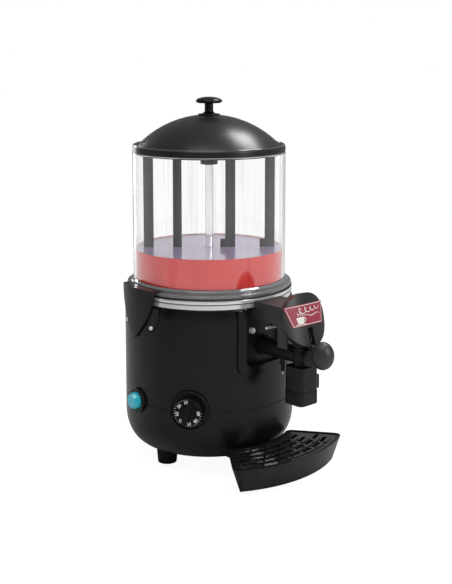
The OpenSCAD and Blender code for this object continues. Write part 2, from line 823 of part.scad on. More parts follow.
module valve_body() {
  nozzle_r = 9;
  nozzle_len = 30;
  nozzle_bore = 6.5;
  color("#19191c") placed() translate([0, -tap_r, 0]) difference() {
    union() {
      translate([0, 0, valve_low_z]) cylinder(h = valve_top_z - valve_low_z, r = valve_r);
      translate([0, 0, valve_low_z - nozzle_len]) cylinder(h = nozzle_len + 1, r = nozzle_r);
      translate([0, tap_r, tap_z]) radial(tap_r, tap_r + stub_len, arm_r);
    }
    translate([0, 0, valve_low_z + 3]) cylinder(h = 60, r = valve_bore_r);
    translate([0, 0, valve_low_z - nozzle_len - 1]) cylinder(h = nozzle_len + 9, r = nozzle_bore);
    translate([0, tap_r, tap_z]) radial(tap_r - valve_r - 5, tap_r, arm_bore_r);
  }
}

module valve_cap() {
  color("#19191c") placed() translate([0, -tap_r, valve_top_z]) difference() {
    cylinder(h = valve_cap_h, r = valve_r - 1);
    translate([0, 0, -1]) cylinder(h = valve_cap_h + 2, r = stem_r + run_gap);
  }
}

module shroud_outline(grow) {
  rounded_rect(-shroud_half_w - grow, shroud_half_w + grow, -shroud_half_d - grow, shroud_half_d + grow, 7 + grow);
}

module spout_shroud() {
  mid_z = shroud_z + shroud_cap_h;
  color("#131315") placed() translate([0, -tap_r, 0]) difference() {
    translate([0, 0, mid_z]) linear_extrude(height = shroud_top_z - mid_z) shroud_outline(0);
    translate([0, 0, mid_z - 1]) linear_extrude(height = shroud_top_z - mid_z - shroud_wall + 1)
      shroud_outline(-shroud_wall);
    translate([0, 0, mid_z]) cylinder(h = 90, r = valve_r + fit_gap);
  }
}

module shroud_cap() {
  lip_up = 5;
  mid_z = shroud_z + shroud_cap_h;
  color("#0c0c0e") placed() translate([0, -tap_r, 0]) difference() {
    union() {
      translate([0, 0, shroud_z]) linear_extrude(height = shroud_cap_h) shroud_outline(0.6);
      translate([0, 0, mid_z - eps]) linear_extrude(height = lip_up) shroud_outline(-shroud_wall - fit_gap);
    }
    translate([0, 0, shroud_z - 1]) linear_extrude(height = shroud_cap_h + lip_up + 2)
      shroud_outline(-shroud_wall - 1.5);
  }
}

module shroud_tab() {
  color("#0c0c0e") placed() translate([0, -tap_r, shroud_z + shroud_cap_h + 1]) difference() {
    translate([shroud_half_w - 3, -14, 0]) cube([8, 12, 21]);
    translate([0, 0, -1]) linear_extrude(height = 23) shroud_outline(0);
  }
}

// ---- tap cover: a leaning shield on a hollow neck ----

// Places children in the shield's own frame: x across, z up the shield, -Y out of its face
module on_cover() {
  placed() translate([0, -cover_y, cover_z]) rotate([-cover_lean, 0, 0]) children();
}

function shield_outline(inset) = [for (a = [0 : 7.5 : 352.5])
  [(cover_half_w - inset) * cos(a),
    cover_mid + ((a < 180 ? cover_up : cover_down) - inset) * sin(a)]];

module face_shell(depth_front, depth_back) {
  translate([0, cover_round, -90]) difference() {
    cylinder(h = 180, r = cover_round + depth_front, $fn = 180);
    translate([0, 0, -1]) cylinder(h = 182, r = cover_round - depth_back, $fn = 180);
  }
}

module tap_cover() {
  ear_in = lever_w / 2 + 4;
  ear_t = 4;
  slot_top = -14;
  color("#1d1d20") difference() {
    union() {
      on_cover() difference() {
        intersection() {
          towards_front(-cover_depth, 8) polygon(shield_outline(0));
          translate([0, cover_round, -90]) cylinder(h = 180, r = cover_round, $fn = 180);
        }
        intersection() {
          towards_front(-cover_depth - 1, 8) polygon(shield_outline(cover_wall));
          translate([0, cover_round, -90]) cylinder(h = 180, r = cover_round - cover_wall, $fn = 180);
        }
      }
      difference() {
        intersection() {
          placed() neck_walls();
          on_cover() translate([0, cover_round, -90]) cylinder(h = 180, r = cover_round - 1);
        }
        placed() cylinder(h = 400, r = panel_r);
        placed() translate([0, 0, shell_top_z - 2]) cylinder(h = 400, r = body_r + frame_proud / 2);
      }
      placed() for (side = [-1, 1]) translate([side * (ear_in + ear_t / 2), 0, 0]) {
        radial_box(pivot_r - 7, pivot_r + 7, ear_t / 2, pivot_z, neck_z + eps);
        translate([0, -pivot_r, pivot_z]) rotate([0, 90, 0]) cylinder(h = ear_t, r = 7, center = true);
      }
    }
    placed() translate([0, -tap_r, 0])
      cylinder(h = valve_top_z + valve_cap_h + move_gap, r = valve_r + move_gap);
    placed() translate([-60, -pivot_r, pivot_z]) rotate([0, 90, 0]) cylinder(h = 120, r = pin_r + run_gap / 2);
    on_cover() translate([-slot_w / 2, -20, -80]) cube([slot_w, 20 + cover_wall + 4, 80 + slot_top]);
    on_cover() translate([-slot_w / 2, -20, -80]) cube([slot_w, 20 + cover_depth + 5, 80 - cover_down + 12]);
  }
}

neck_start = panel_r - 4;
neck_end = cover_y + 10;

module neck_walls() {
  radial_box(neck_start, neck_end, neck_half_w, neck_top_z - cover_wall, neck_top_z);
  for (side = [-1, 1]) translate([side * (neck_half_w - cover_wall / 2), 0, 0])
    radial_box(neck_start, neck_end, cover_wall / 2, neck_z, neck_top_z);
  radial_box(neck_start, tap_r - head_r - 4, neck_half_w, neck_z, neck_z + cover_wall);
  for (side = [-1, 1]) translate([side * (neck_half_w - cover_wall / 2), 0, 0])
    radial_box(tap_r - cheek_len - 4, tap_r - 4, cover_wall / 2, tap_z + (side < 0 ? arm_r : 2), neck_z + eps);
}

// Length of the cheeks that close the space below the neck, on both sides of the stem
cheek_len = 20;

// Thickness of the glue under the label
label_gap = 0.03;

module label_plate() {
  top_half = 40;
  low_half = 31;
  low_v = -10;
  top_v = 21.5;
  color("#8d2c3a") on_cover() intersection() {
    towards_front(-40, 9)
      polygon([[-low_half, low_v], [low_half, low_v], [top_half, top_v], [-top_half, top_v]]);
    face_shell(0.7, -label_gap);
  }
}

module pivot_pin() {
  pin_left = 35;
  pin_right = 17;
  color("silver") placed() translate([-pin_left, -pivot_r, pivot_z]) rotate([0, 90, 0]) {
    cylinder(h = pin_left + pin_right, r = pin_r);
    translate([0, 0, pin_left + pin_right]) cylinder(h = 1.5, r = pin_r + 1.6);
  }
}

level_r = tap_r - 32;
level_low_z = 172;

module level_tube() {
  color("#101012") placed() translate([-7, -level_r, 0]) difference() {
    translate([0, 0, level_low_z]) cylinder(h = tap_z - level_low_z, r = 3);
    translate([7, level_r, tap_z]) radial(cut_r, tap_r, arm_r + eps);
    translate([0, 0, level_low_z - 1]) cylinder(h = 7, r = 1.6 + fit_gap / 2);
  }
}

module tube_tip() {
  color("#d8d8d4") placed() translate([-7, -level_r, level_low_z - 5]) cylinder(h = 10.5, r = 1.6);
}

// ---- lever, plunger and spring ----

// Places children in the lever's frame: origin at the pivot, -Y along the bar
module on_lever() {
  placed() translate([0, -pivot_r, pivot_z]) rotate([lever_drop, 0, 0]) children();
}

module lever_arm() {
  eye_half = 8;
  eye_w = 9;
  color("#1a1a1d") difference() {
    on_lever() union() {
      rotate([0, 90, 0]) cylinder(h = lever_w + 6, r = 6, center = true);
      radial_box(0, lever_len - 4, lever_w / 2, -lever_h / 2, lever_h / 2);
      radial_box(lever_at_stem - eye_half, lever_at_stem + eye_half, eye_w, -lever_h / 2, lever_h / 2);
    }
    on_lever() rotate([0, 90, 0]) cylinder(h = 60, r = pin_r + run_gap, center = true);
    on_lever() radial_box(lever_at_stem - eye_half + 2.5, lever_at_stem + eye_half - 2.5, stem_r + 1, -20, 20);
    placed() ball_solid(fit_gap / 2);
  }
}

module ball_solid(grow) {
  translate([0, -ball_y, ball_z]) rotate_extrude() polygon(concat(
    [for (a = [-90 : 7.5 : 90]) [(ball_r + grow) * cos(a), (ball_half_h + grow) * sin(a)]]
  ));
}

module ball_knob() {
  color("#2b2b2e") placed() ball_solid(0);
}

module plunger() {
  color("#c8c8c4") placed() translate([0, -tap_r, 0]) {
    translate([0, 0, valve_low_z + 3 + move_gap]) cylinder(h = 9, r = valve_bore_r - run_gap);
    translate([0, 0, valve_low_z + 4]) cylinder(h = head_z - valve_low_z - 3, r = stem_r);
    translate([0, 0, head_z]) cylinder(h = head_h, r = head_r);
  }
}

module tap_spring() {
  spring_z = head_z + head_h;
  color("silver") placed() translate([0, -tap_r, 0])
    ring(4, 5.6, spring_z, neck_top_z - cover_wall - fit_gap);
}

// ---- thermostat dial and power button ----

module dial_bezel() {
  color("#0f0f11") placed(dial_angle) translate([0, 0, dial_z]) difference() {
    radial(bezel_in_r, body_r + 5, bezel_r);
    radial(body_r + 1.5, body_r + 6, bezel_r - 3);
    radial(bezel_in_r - 1, body_r + 6, spindle_r + run_gap);
    radial(bezel_in_r - 1, bezel_in_r + 5, 7 + fit_gap);
  }
}

module dial_knob() {
  knob_from = body_r + 1.5 + move_gap;
  grip = 5;
  color("#1a1a1c") placed(dial_angle) translate([0, 0, dial_z]) difference() {
    union() {
      radial(knob_from, knob_from + dial_h - 4, dial_r, dial_r - 1);
      radial(knob_from + dial_h - 4, knob_from + dial_h - 3, dial_r - 1, dial_r - 2);
      radial(knob_from + dial_h - 4, knob_from + dial_h + 1, dial_r - 11, dial_r - 12);
      rotate([0, 18, 0]) radial_box(knob_from + dial_h - 4, knob_from + dial_h + grip, 4, 4 - dial_r, dial_r - 4);
    }
    radial(body_r, knob_from + dial_h - 5, spindle_r + fit_gap / 2);
  }
}

module dial_spindle() {
  color("#b08d4f") placed(dial_angle) translate([0, 0, dial_z])
    radial(thermostat_r - 12, body_r + 1.5 + dial_h - 5, spindle_r);
}

module switch_collar() {
  color("#0f0f11") placed(button_angle) translate([0, 0, button_z]) difference() {
    radial(body_r - 10, body_r + 4, collar_r);
    radial(body_r - 12, body_r + 6, button_r + move_gap);
  }
}

button_stem_r = 4;

module switch_body() {
  color("#26262a") placed(button_angle) translate([0, 0, button_z]) difference() {
    radial_box(body_r - 30, body_r - 10 - fit_gap, 15, -15, 15);
    radial(body_r - 18, body_r, button_stem_r + run_gap);
  }
}

module power_button() {
  back = body_r - 10 + button_travel + move_gap;
  front = body_r + button_proud;
  color([0.1, 0.55, 0.62, 0.85]) placed(button_angle) translate([0, 0, button_z]) {
    radial(back, front - 5, button_r, sides = 10);
    radial(front - 5, front, button_r, button_front_r, sides = 10);
    radial(body_r - 10 - 4, back + 1, button_stem_r);
  }
}

// ---- lid ----

module lid_dome() {
  lip_r = bowl_in_r - 1.5;
  color("#141416") placed() difference() {
    union() {
      intersection() {
        translate([0, 0, dome_centre_z]) sphere(r = dome_sphere_r, $fn = 200);
        translate([0, 0, dome_z - eps]) cylinder(h = 200, r = dome_sphere_r);
      }
      rotate_extrude() polygon([
        [0, rim_z], [bowl_r, rim_z], [bowl_r, dome_z - 3], [bowl_r - 0.6, dome_z - 1.4],
        [bowl_r - 1.8, dome_z - 0.4], [bowl_r - 3.4, dome_z], [dome_r + 3, dome_z],
        [dome_r + 2, dome_z - 1.6], [dome_r + 0.8, dome_z - 1.6], [dome_r, dome_z], [0, dome_z]
      ]);
      translate([0, 0, rim_z - lip_h]) cylinder(h = lip_h + 1, r = lip_r);
    }
    intersection() {
      translate([0, 0, dome_centre_z]) sphere(r = dome_sphere_r - lid_wall, $fn = 200);
      translate([0, 0, dome_z - 1]) cylinder(h = 200, r = dome_sphere_r);
    }
    translate([0, 0, rim_z - lip_h - 1]) cylinder(h = lip_h + rim_h + 1 - lid_wall, r = lip_r - lid_wall);
    translate([0, 0, dome_z - 5]) cylinder(h = 5, r = dome_r - 5);
    translate([0, 0, dome_top_z - 20]) cylinder(h = 40, r = lid_screw_r + fit_gap);
  }
}

lid_screw_r = 2.5;

module lid_seal() {
  color("#6a6a6e") placed() ring(bowl_in_r + 0.4, bowl_r - 0.5, bowl_top_z, rim_z);
}

module lid_knob() {
  stem = 7;
  flare = 17.5;
  head_low = top_z - 10;
  nut_r = 6;
  nut_h = 5;
  nut_top = dome_top_z - lid_wall - fit_gap;
  color("#141416") placed() {
    difference() {
      rotate_extrude() polygon(concat(
        [[0, dome_top_z - 3], [flare, dome_top_z - 3], [flare, dome_top_z + 1]],
        [for (a = [0 : 15 : 90]) [flare - 1.5 - (flare - stem - 1.5) * sin(a), dome_top_z + 6 - 5 * cos(a)]],
        [[stem, head_low - 1], [stem + 2, head_low], [knob_r - 4, head_low], [knob_r - 1, head_low + 1.2]],
        [for (a = [0 : 15 : 90]) [knob_r * cos(a), top_z - 7 + 7 * sin(a)]],
        [[0, top_z]]
      ));
      translate([0, 0, dome_centre_z]) sphere(r = dome_sphere_r + eps, $fn = 200);
    }
    translate([0, 0, nut_top - nut_h]) cylinder(h = nut_h, r = nut_r, $fn = 6);
    translate([0, 0, nut_top - nut_h - 2]) cylinder(h = dome_top_z + 4 - nut_top + nut_h, r = lid_screw_r);
  }
}

// ---- stirrer ----

module drive_shaft() {
  color("silver") placed() translate([0, 0, plate_z - gearbox_h + 8 + move_gap])
    cylinder(h = arm_z + arm_t - plate_z + gearbox_h - 8 - move_gap, r = shaft_r);
}

module stirrer_hub() {
  color("#1a1a1c") placed() difference() {
    translate([0, 0, hub_z]) cylinder(h = hub_h, r = hub_r);
    translate([0, 0, hub_z - 1]) cylinder(h = hub_h + 2, r = shaft_r + run_gap / 2);
  }
}

arm_w = 14;

module stirrer_arms() {
  color("#2a2a2d") placed() rotate([0, 0, stir_angle]) difference() {
    union() {
      translate([-stir_r, -arm_w / 2, arm_z]) cube([2 * stir_r, arm_w, arm_t]);
      translate([0, 0, arm_z]) cylinder(h = arm_t, r = hub_r);
    }
    translate([0, 0, arm_z - 1]) cylinder(h = arm_t + 2, r = shaft_r + run_gap / 2);
  }
}

module blade(from, to, paddle_from) {
  height = arm_z - blade_z;
  translate([from, -blade_t / 2, blade_z]) cube([to - from, blade_t, height]);
  if (paddle_from < from)
    translate([paddle_from, -blade_t / 2, blade_z]) cube([from - paddle_from + 1, blade_t, paddle_h]);
}

module stirrer_blades() {
  color("#8a8c8f") placed() rotate([0, 0, stir_angle]) {
    blade(stir_r - blade_w, stir_r, stir_r - blade_w - paddle_w);
    blade(blade_near, blade_near + blade_w, blade_near - paddle_w);
    rotate([0, 0, 180]) blade(stir_r - blade_w, stir_r, stir_r - blade_w);
    rotate([0, 0, 180]) blade(blade_far, blade_far + blade_w - 2, blade_far);
  }
}

// ---- drip tray ----

// Plan of the tray, drawn with the front towards -Y: a fan between two arcs
module tray_plan(r_in, r_out, inset) {
  reach = 400;
  intersection() {
    difference() {
      circle(r = r_out, $fn = 180);
      circle(r = r_in, $fn = 180);
    }
    translate([0, -tray_apex - inset / sin(tray_angle)])
      polygon([[0, 0], [-reach * sin(tray_angle), -reach * cos(tray_angle)],
        [reach * sin(tray_angle), -reach * cos(tray_angle)]]);
  }
}

module rounded_tray_plan(r_in, r_out, inset) {
  round_r = max(tray_corner - inset, 2);
  offset(r = round_r, $fn = 32) offset(delta = -round_r) tray_plan(r_in, r_out, inset);
}

// A block with the tray's plan and leaning walls, from a height up to the tray's top and above it
module tray_block(r_in, r_out, inset, z0, above) {
  lean = (tray_top_z - z0) * tray_taper / tray_h;
  difference() {
    hull() {
      translate([0, 0, z0]) linear_extrude(height = eps) offset(delta = -lean) rounded_tray_plan(r_in, r_out, inset);
      translate([0, 0, tray_top_z - eps]) linear_extrude(height = eps + above) rounded_tray_plan(r_in, r_out, inset);
    }
    translate([0, 0, z0 - 1]) cylinder(h = tray_h + above + 2, r = r_in, $fn = 180);
  }
}

grille_gap = 0.35;
// The grille lifts straight up in front of the housing
grille_in_r = body_r + 2.5;

module grille_opening() {
  rounded_tray_plan(grille_in_r, tray_out_r - tray_wall - 2, tray_wall);
}

module drip_tray() {
  color("#121214") placed() difference() {
    union() {
      tray_block(tray_in_r, tray_out_r, 0, tray_z, 0);
      for (side = [-1, 1]) translate([side * tongue_x, 0, 0])
        radial_box(tongue_back_r, tray_in_r + 4, tongue_w / 2, tongue_z, tongue_z + tongue_t);
    }
    tray_block(grille_in_r + ledge, tray_out_r - tray_wall - ledge, tray_wall + ledge, tray_z + tray_floor, 1);
    translate([0, 0, grille_z]) linear_extrude(height = tray_h) grille_opening();
  }
}

tongue_z = base_z - tongue_t - move_gap;
rail_front_r = shoulder_r - 2;
tongue_back_r = rail_front_r - tray_travel;

module tray_rails() {
  rail_low = tongue_z - move_gap - rail_t;
  half = tongue_w / 2 + move_gap;
  stop = 2;
  color("#1a1a1c") placed() for (side = [-1, 1]) translate([side * tongue_x, 0, 0]) difference() {
    radial_box(tongue_back_r - 2 * stop, rail_front_r, half + rail_t, rail_low, base_z);
    radial_box(tongue_back_r - stop, rail_front_r + 1, half, rail_low + rail_t, base_z + 1);
  }
}

module drip_grille() {
  plate_top = grille_z + grille_h;
  first_row = grille_in_r + 7;
  last_row = tray_out_r - tray_wall - 8;
  color("#161618") placed() union() {
    difference() {
      translate([0, 0, grille_z]) linear_extrude(height = grille_h) offset(delta = -grille_gap) grille_opening();
      for (r = [first_row + row_pitch / 2 : row_pitch : last_row])
        for (a = row_places(r, 0))
          translate([0, 0, grille_z - 1]) arc_bar(r, slit_w, a, row_step(r) * slit_share, grille_h + 2);
    }
    for (i = [0 : floor((last_row - first_row) / row_pitch)]) {
      r = first_row + i * row_pitch;
      for (a = row_places(r, (i % 2) / 2))
        translate([0, 0, plate_top - eps]) arc_bar(r, rib_w, a, row_step(r) * slit_share, rib_h);
    }
  }
}

rib_w = 5;
rib_h = 1.5;
slit_len = 27;
slit_share = 0.41;

// Half of the angle that a row of the grille has between the tray's ends
function row_span(r) = tray_angle - asin(tray_apex * sin(tray_angle) / r) - (tray_wall + 5) / r * 57.3;
// Angle between the middles of two slots in a row
function row_step(r) = slit_len / r * 57.3;
// Angles of the slots or ribs of a row, every other row shifted by half a step
function row_places(r, shift) = [for (k = [-9 : 9])
  if (abs(k + shift) + slit_share <= row_span(r) / row_step(r)) (k + shift) * row_step(r)];

// A bar bent along an arc round the machine's axis, centred at an angle from the front
module arc_bar(r, width, angle, half_span, height) {
  rotate([0, 0, -90 + angle - half_span]) rotate_extrude(angle = 2 * half_span)
    translate([r - width / 2, 0]) square([width, height]);
}

housing_base();
housing_shell();
foot(0);  // foot_front
foot(90);  // foot_right
foot(180);  // foot_back
foot(-90);  // foot_left
foot_screws();
tap_frame();
tap_panel();
trim_screws();
side_clip(-clip_angle);  // clip_left
side_clip(clip_angle);  // clip_right
water_tank();
band_heater();
motor_bracket();
gearbox();
motor();
thermostat();
terminal_block();
cable_gland();
bowl_seal();
bowl();
drink_fill();
column_tube();
column_nut();
shaft_bushes();
outlet_pipe();
outlet_seal();
tap_arm();
tap_collar();
valve_body();
valve_cap();
spout_shroud();
shroud_cap();
shroud_tab();
tap_cover();
label_plate();
pivot_pin();
level_tube();
tube_tip();
dial_bezel();
switch_collar();
switch_body();
tray_rails();
lever_arm();
ball_knob();
plunger();
tap_spring();
dial_knob();
dial_spindle();
power_button();
lid_dome();
lid_seal();
lid_knob();
drive_shaft();
stirrer_hub();
stirrer_arms();
stirrer_blades();
drip_tray();
drip_grille();
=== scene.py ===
import json
import math

import bmesh
import bpy
from mathutils import Matrix, Vector


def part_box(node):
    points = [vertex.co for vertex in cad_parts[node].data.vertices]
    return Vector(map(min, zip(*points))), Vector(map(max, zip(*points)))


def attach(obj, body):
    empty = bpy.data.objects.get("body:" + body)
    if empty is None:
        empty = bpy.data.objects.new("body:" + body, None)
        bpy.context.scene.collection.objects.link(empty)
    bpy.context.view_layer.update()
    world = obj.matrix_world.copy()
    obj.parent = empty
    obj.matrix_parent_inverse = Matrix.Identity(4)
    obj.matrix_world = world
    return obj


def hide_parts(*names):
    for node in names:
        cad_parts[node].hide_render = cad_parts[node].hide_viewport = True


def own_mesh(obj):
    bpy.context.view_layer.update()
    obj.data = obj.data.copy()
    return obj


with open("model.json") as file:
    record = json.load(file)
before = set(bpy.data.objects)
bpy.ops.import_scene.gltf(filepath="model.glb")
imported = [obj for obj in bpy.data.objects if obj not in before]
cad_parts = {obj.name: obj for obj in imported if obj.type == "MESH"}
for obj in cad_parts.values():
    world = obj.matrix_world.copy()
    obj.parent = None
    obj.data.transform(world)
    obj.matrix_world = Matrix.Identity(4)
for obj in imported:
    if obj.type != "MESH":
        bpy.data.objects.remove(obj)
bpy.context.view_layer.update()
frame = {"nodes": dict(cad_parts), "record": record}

nodes = frame["nodes"]
scene = bpy.context.scene

# Middle of the bowl, which every round piece turns about
lid_low, lid_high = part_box("lid_dome")
AXIS_X = (lid_low[0] + lid_high[0]) / 2
AXIS_Y = (lid_low[1] + lid_high[1]) / 2


def from_axis(r, angle, z):
    """A point r out from the bowl's axis, at an angle in degrees from the tap."""
    a = math.radians(angle)
    return Vector((AXIS_X + r * math.sin(a), AXIS_Y - r * math.cos(a), z))


# ---------------------------------------------------------------- camera

LOOK_ANGLE = math.radians(-41.94)
LOOK_DOWN = math.radians(7.7)

camera = bpy.data.objects.new("camera", bpy.data.cameras.new("camera"))
scene.collection.objects.link(camera)
camera.location = (-1.13351, -1.24730, 0.6586)
sight = Vector((
    -math.sin(LOOK_ANGLE) * math.cos(LOOK_DOWN),
    math.cos(LOOK_ANGLE) * math.cos(LOOK_DOWN),
    -math.sin(LOOK_DOWN),
))
camera.rotation_mode = "QUATERNION"
camera.rotation_quaternion = sight.to_track_quat("-Z", "Y")
camera.data.sensor_width = 36
camera.data.lens = 67.227
camera.data.shift_y = -0.1695
camera.data.clip_start = 0.05
camera.data.clip_end = 50
scene.camera = camera
scene.view_settings.view_transform = "Standard"

# ---------------------------------------------------------------- shader nodes used all over


def feed(tree, socket, value):
    """Links an input socket to an output, or sets it to a number or a colour."""
    if isinstance(value, bpy.types.NodeSocket):
        tree.links.new(value, socket)
    else:
        socket.default_value = value


def math_node(tree, operation, a, b=None, clamp=False):
    """A Math node whose inputs are sockets or numbers; returns its output."""
    node = tree.nodes.new("ShaderNodeMath")
    node.operation = operation
    node.use_clamp = clamp
    feed(tree, node.inputs[0], a)
    if b is not None:
        feed(tree, node.inputs[1], b)
    return node.outputs[0]


def mix_colour(tree, share, a, b):
    """Mixes two colours, each a socket or a tuple, by a socket or a number."""
    node = tree.nodes.new("ShaderNodeMix")
    node.data_type = "RGBA"
    # A Mix node's colours are its inputs 6 and 7 and its output 2
    feed(tree, node.inputs[0], share)
    feed(tree, node.inputs[6], a)
    feed(tree, node.inputs[7], b)
    return node.outputs[2]


def mix_shader(tree, share, a, b):
    """Mixes two shaders by a socket; returns the mixed one."""
    node = tree.nodes.new("ShaderNodeMixShader")
    for socket, value in zip(node.inputs, (share, a, b)):
        tree.links.new(value, socket)
    return node.outputs[0]


def ramp(tree, value, low, high, top=1.0):
    """Runs a value from nothing at low to top at high."""
    node = tree.nodes.new("ShaderNodeMapRange")
    node.inputs["From Min"].default_value = low
    node.inputs["From Max"].default_value = high
    node.inputs["To Max"].default_value = top
    tree.links.new(value, node.inputs["Value"])
    return node.outputs[0]


def noise(tree, scale, detail, stretch=None):
    """Noise in a piece's own space, drawn out along its axes where stretch is given."""
    place = tree.nodes.new("ShaderNodeTexCoord").outputs["Object"]
    if stretch:
        drawn = tree.nodes.new("ShaderNodeMapping")
        drawn.inputs["Scale"].default_value = stretch
        tree.links.new(place, drawn.inputs["Vector"])
        place = drawn.outputs[0]
    node = tree.nodes.new("ShaderNodeTexNoise")
    node.inputs["Detail"].default_value = detail
    feed(tree, node.inputs["Scale"], scale)
    tree.links.new(place, node.inputs["Vector"])
    return node.outputs[0]


def bump_normal(tree, height, strength, distance):
    """The normal of a surface with a pattern pressed in to it."""
    node = tree.nodes.new("ShaderNodeBump")
    node.inputs["Distance"].default_value = distance
    tree.links.new(strength, node.inputs["Strength"])
    tree.links.new(height, node.inputs["Height"])
    return node.outputs["Normal"]


def normal_z(tree):
    """How far a surface faces up."""
    shape = tree.nodes.new("ShaderNodeNewGeometry")
    split = tree.nodes.new("ShaderNodeSeparateXYZ")
    tree.links.new(shape.outputs["Normal"], split.inputs[0])
    return split.outputs["Z"]


def pointiness(tree):
    """How far a surface bulges, which tells its edges from its faces."""
    return tree.nodes.new("ShaderNodeNewGeometry").outputs["Pointiness"]


def seen_rays(tree):
    """1 for rays from the camera and rays through glass, and 0 for the rest."""
    path = tree.nodes.new("ShaderNodeLightPath")
    return math_node(tree, "ADD", path.outputs["Is Camera Ray"], path.outputs["Is Transmission Ray"], True)


# ---------------------------------------------------------------- light and floor

camera_right = Vector((math.cos(LOOK_ANGLE), math.sin(LOOK_ANGLE), 0))
camera_away = Vector((-math.sin(LOOK_ANGLE), math.cos(LOOK_ANGLE), 0))
machine_aim = Vector((AXIS_X, AXIS_Y, 0.3))
lid_aim = Vector((AXIS_X, AXIS_Y, 0.5))


def from_camera(right, away, up):
    """A point to the right of the bowl's axis and beyond it, as the camera sees it."""
    return camera_right * right + camera_away * away + Vector((AXIS_X, AXIS_Y, up))


def softbox(name, right, away, up, width, height, watts, aim=machine_aim):
    """An area light placed from the bowl's axis, as the camera sees it."""
    lamp = bpy.data.lights.new(name, "AREA")
    lamp.shape = "RECTANGLE"
    lamp.size = width
    lamp.size_y = height
    lamp.energy = watts
    box = bpy.data.objects.new(name, lamp)
    box.location = from_camera(right, away, up)
    box.rotation_mode = "QUATERNION"
    box.rotation_quaternion = (aim - box.location).to_track_quat("-Z", "Y")
    scene.collection.objects.link(box)


softbox("key_softbox", 1.5, -1.1, 1.15, 0.5, 1.1, 13)
softbox("left_strip", -1.1, 1.7, 0.5, 0.16, 1.3, 7)
softbox("top_softbox", -0.1, -0.7, 2.1, 1.2, 0.8, 10)
softbox("lid_softbox", 0.72, 0.56, 1.80, 0.62, 0.50, 14, lid_aim)


def black_card(name, right, away, low, high, width):
    """An upright card that only reflections see, for dark bands on glossy pieces."""
    across = camera_away if abs(right) > abs(away) else camera_right
    foot = from_camera(right, away, low)
    rise = Vector((0, 0, high - low))
    start = foot - across * (width / 2)
    end = foot + across * (width / 2)
    mesh = bpy.data.meshes.new(name)
    mesh.from_pydata([start, end, end + rise, start + rise], [], [(0, 1, 2, 3)])
    card = bpy.data.objects.new(name, mesh)
    scene.collection.objects.link(card)
    mat = bpy.data.materials.new(name)
    mat.use_nodes = True
    shader = mat.node_tree.nodes["Principled BSDF"]
    shader.inputs["Base Color"].default_value = (0.004, 0.004, 0.004, 1)
    shader.inputs["Roughness"].default_value = 1.0
    mesh.materials.append(mat)
    for ray in ("camera", "diffuse", "transmission", "shadow", "volume_scatter"):
        setattr(card, "visible_" + ray, False)


black_card("dark_card_left", -1.1, -0.9, 0.0, 1.5, 0.5)
black_card("dark_card_right", 0.75, -1.9, 0.0, 1.6, 0.35)

# How bright the white surroundings are as fill, and how much of that reflections lose
WORLD_FILL = 0.42
REFLECTION_LOSS = 0.20


def plain_world():
    """White to the camera and through glass, dimmer in reflections and as fill."""
    world = bpy.data.worlds.new("studio")
    scene.world = world
    world.use_nodes = True
    tree = world.node_tree
    back = tree.nodes["Background"]
    back.inputs["Color"].default_value = (1, 1, 1, 1)
    path = tree.nodes.new("ShaderNodeLightPath")
    unseen = tree.nodes.new("ShaderNodeMath")
    unseen.operation = "MULTIPLY_ADD"
    unseen.inputs[1].default_value = -REFLECTION_LOSS
    unseen.inputs[2].default_value = WORLD_FILL
    tree.links.new(path.outputs["Is Glossy Ray"], unseen.inputs[0])
    level = tree.nodes.new("ShaderNodeMix")
    level.inputs["B"].default_value = 1.0
    tree.links.new(seen_rays(tree), level.inputs["Factor"])
    tree.links.new(unseen.outputs[0], level.inputs["A"])
    tree.links.new(level.outputs["Result"], back.inputs["Strength"])


plain_world()

# Half the floor's width, its grey in the light, its own glow, and the glow's share to the camera
FLOOR_REACH = 12
FLOOR_GREY = 0.62
FLOOR_GLOW = 1.31
GLOW_SHARE = 0.72


def pale_floor():
    """A wide floor, white to the camera, that keeps a soft part of the shadow; clear from below."""
    reach = FLOOR_REACH
    mesh = bpy.data.meshes.new("floor")
    mesh.from_pydata([(-reach, -reach, 0), (reach, -reach, 0), (reach, reach, 0), (-reach, reach, 0)],
                     [], [(0, 1, 2, 3)])
    floor = bpy.data.objects.new("floor", mesh)
    scene.collection.objects.link(floor)
    mat = bpy.data.materials.new("floor_white")
    mat.use_nodes = True
    tree = mat.node_tree
    tree.nodes.clear()
    out = tree.nodes.new("ShaderNodeOutputMaterial")
    shadow = tree.nodes.new("ShaderNodeBsdfDiffuse")
    shadow.inputs["Color"].default_value = (FLOOR_GREY, FLOOR_GREY, FLOOR_GREY, 1)
    white = tree.nodes.new("ShaderNodeEmission")
    white.inputs["Color"].default_value = (1, 1, 1, 1)
    white.inputs["Strength"].default_value = FLOOR_GLOW
    share = math_node(tree, "MULTIPLY", seen_rays(tree), GLOW_SHARE, True)
    above = mix_shader(tree, share, shadow.outputs[0], white.outputs[0])
    clear = tree.nodes.new("ShaderNodeBsdfTransparent")
    below = tree.nodes.new("ShaderNodeNewGeometry").outputs["Backfacing"]
    tree.links.new(mix_shader(tree, below, above, clear.outputs[0]), out.inputs["Surface"])
    mesh.materials.append(mat)


pale_floor()

# ---------------------------------------------------------------- shared shader effects


def effect(name, inputs, outputs):
    """A shader node group with named sockets; returns the group, its input node and its output node."""
    tree = bpy.data.node_groups.new(name, "ShaderNodeTree")
    for label, kind, value in inputs:
        tree.interface.new_socket(label, in_out="INPUT", socket_type=kind).default_value = value
    for label, kind in outputs:
        tree.interface.new_socket(label, in_out="OUTPUT", socket_type=kind)
    return tree, tree.nodes.new("NodeGroupInput"), tree.nodes.new("NodeGroupOutput")


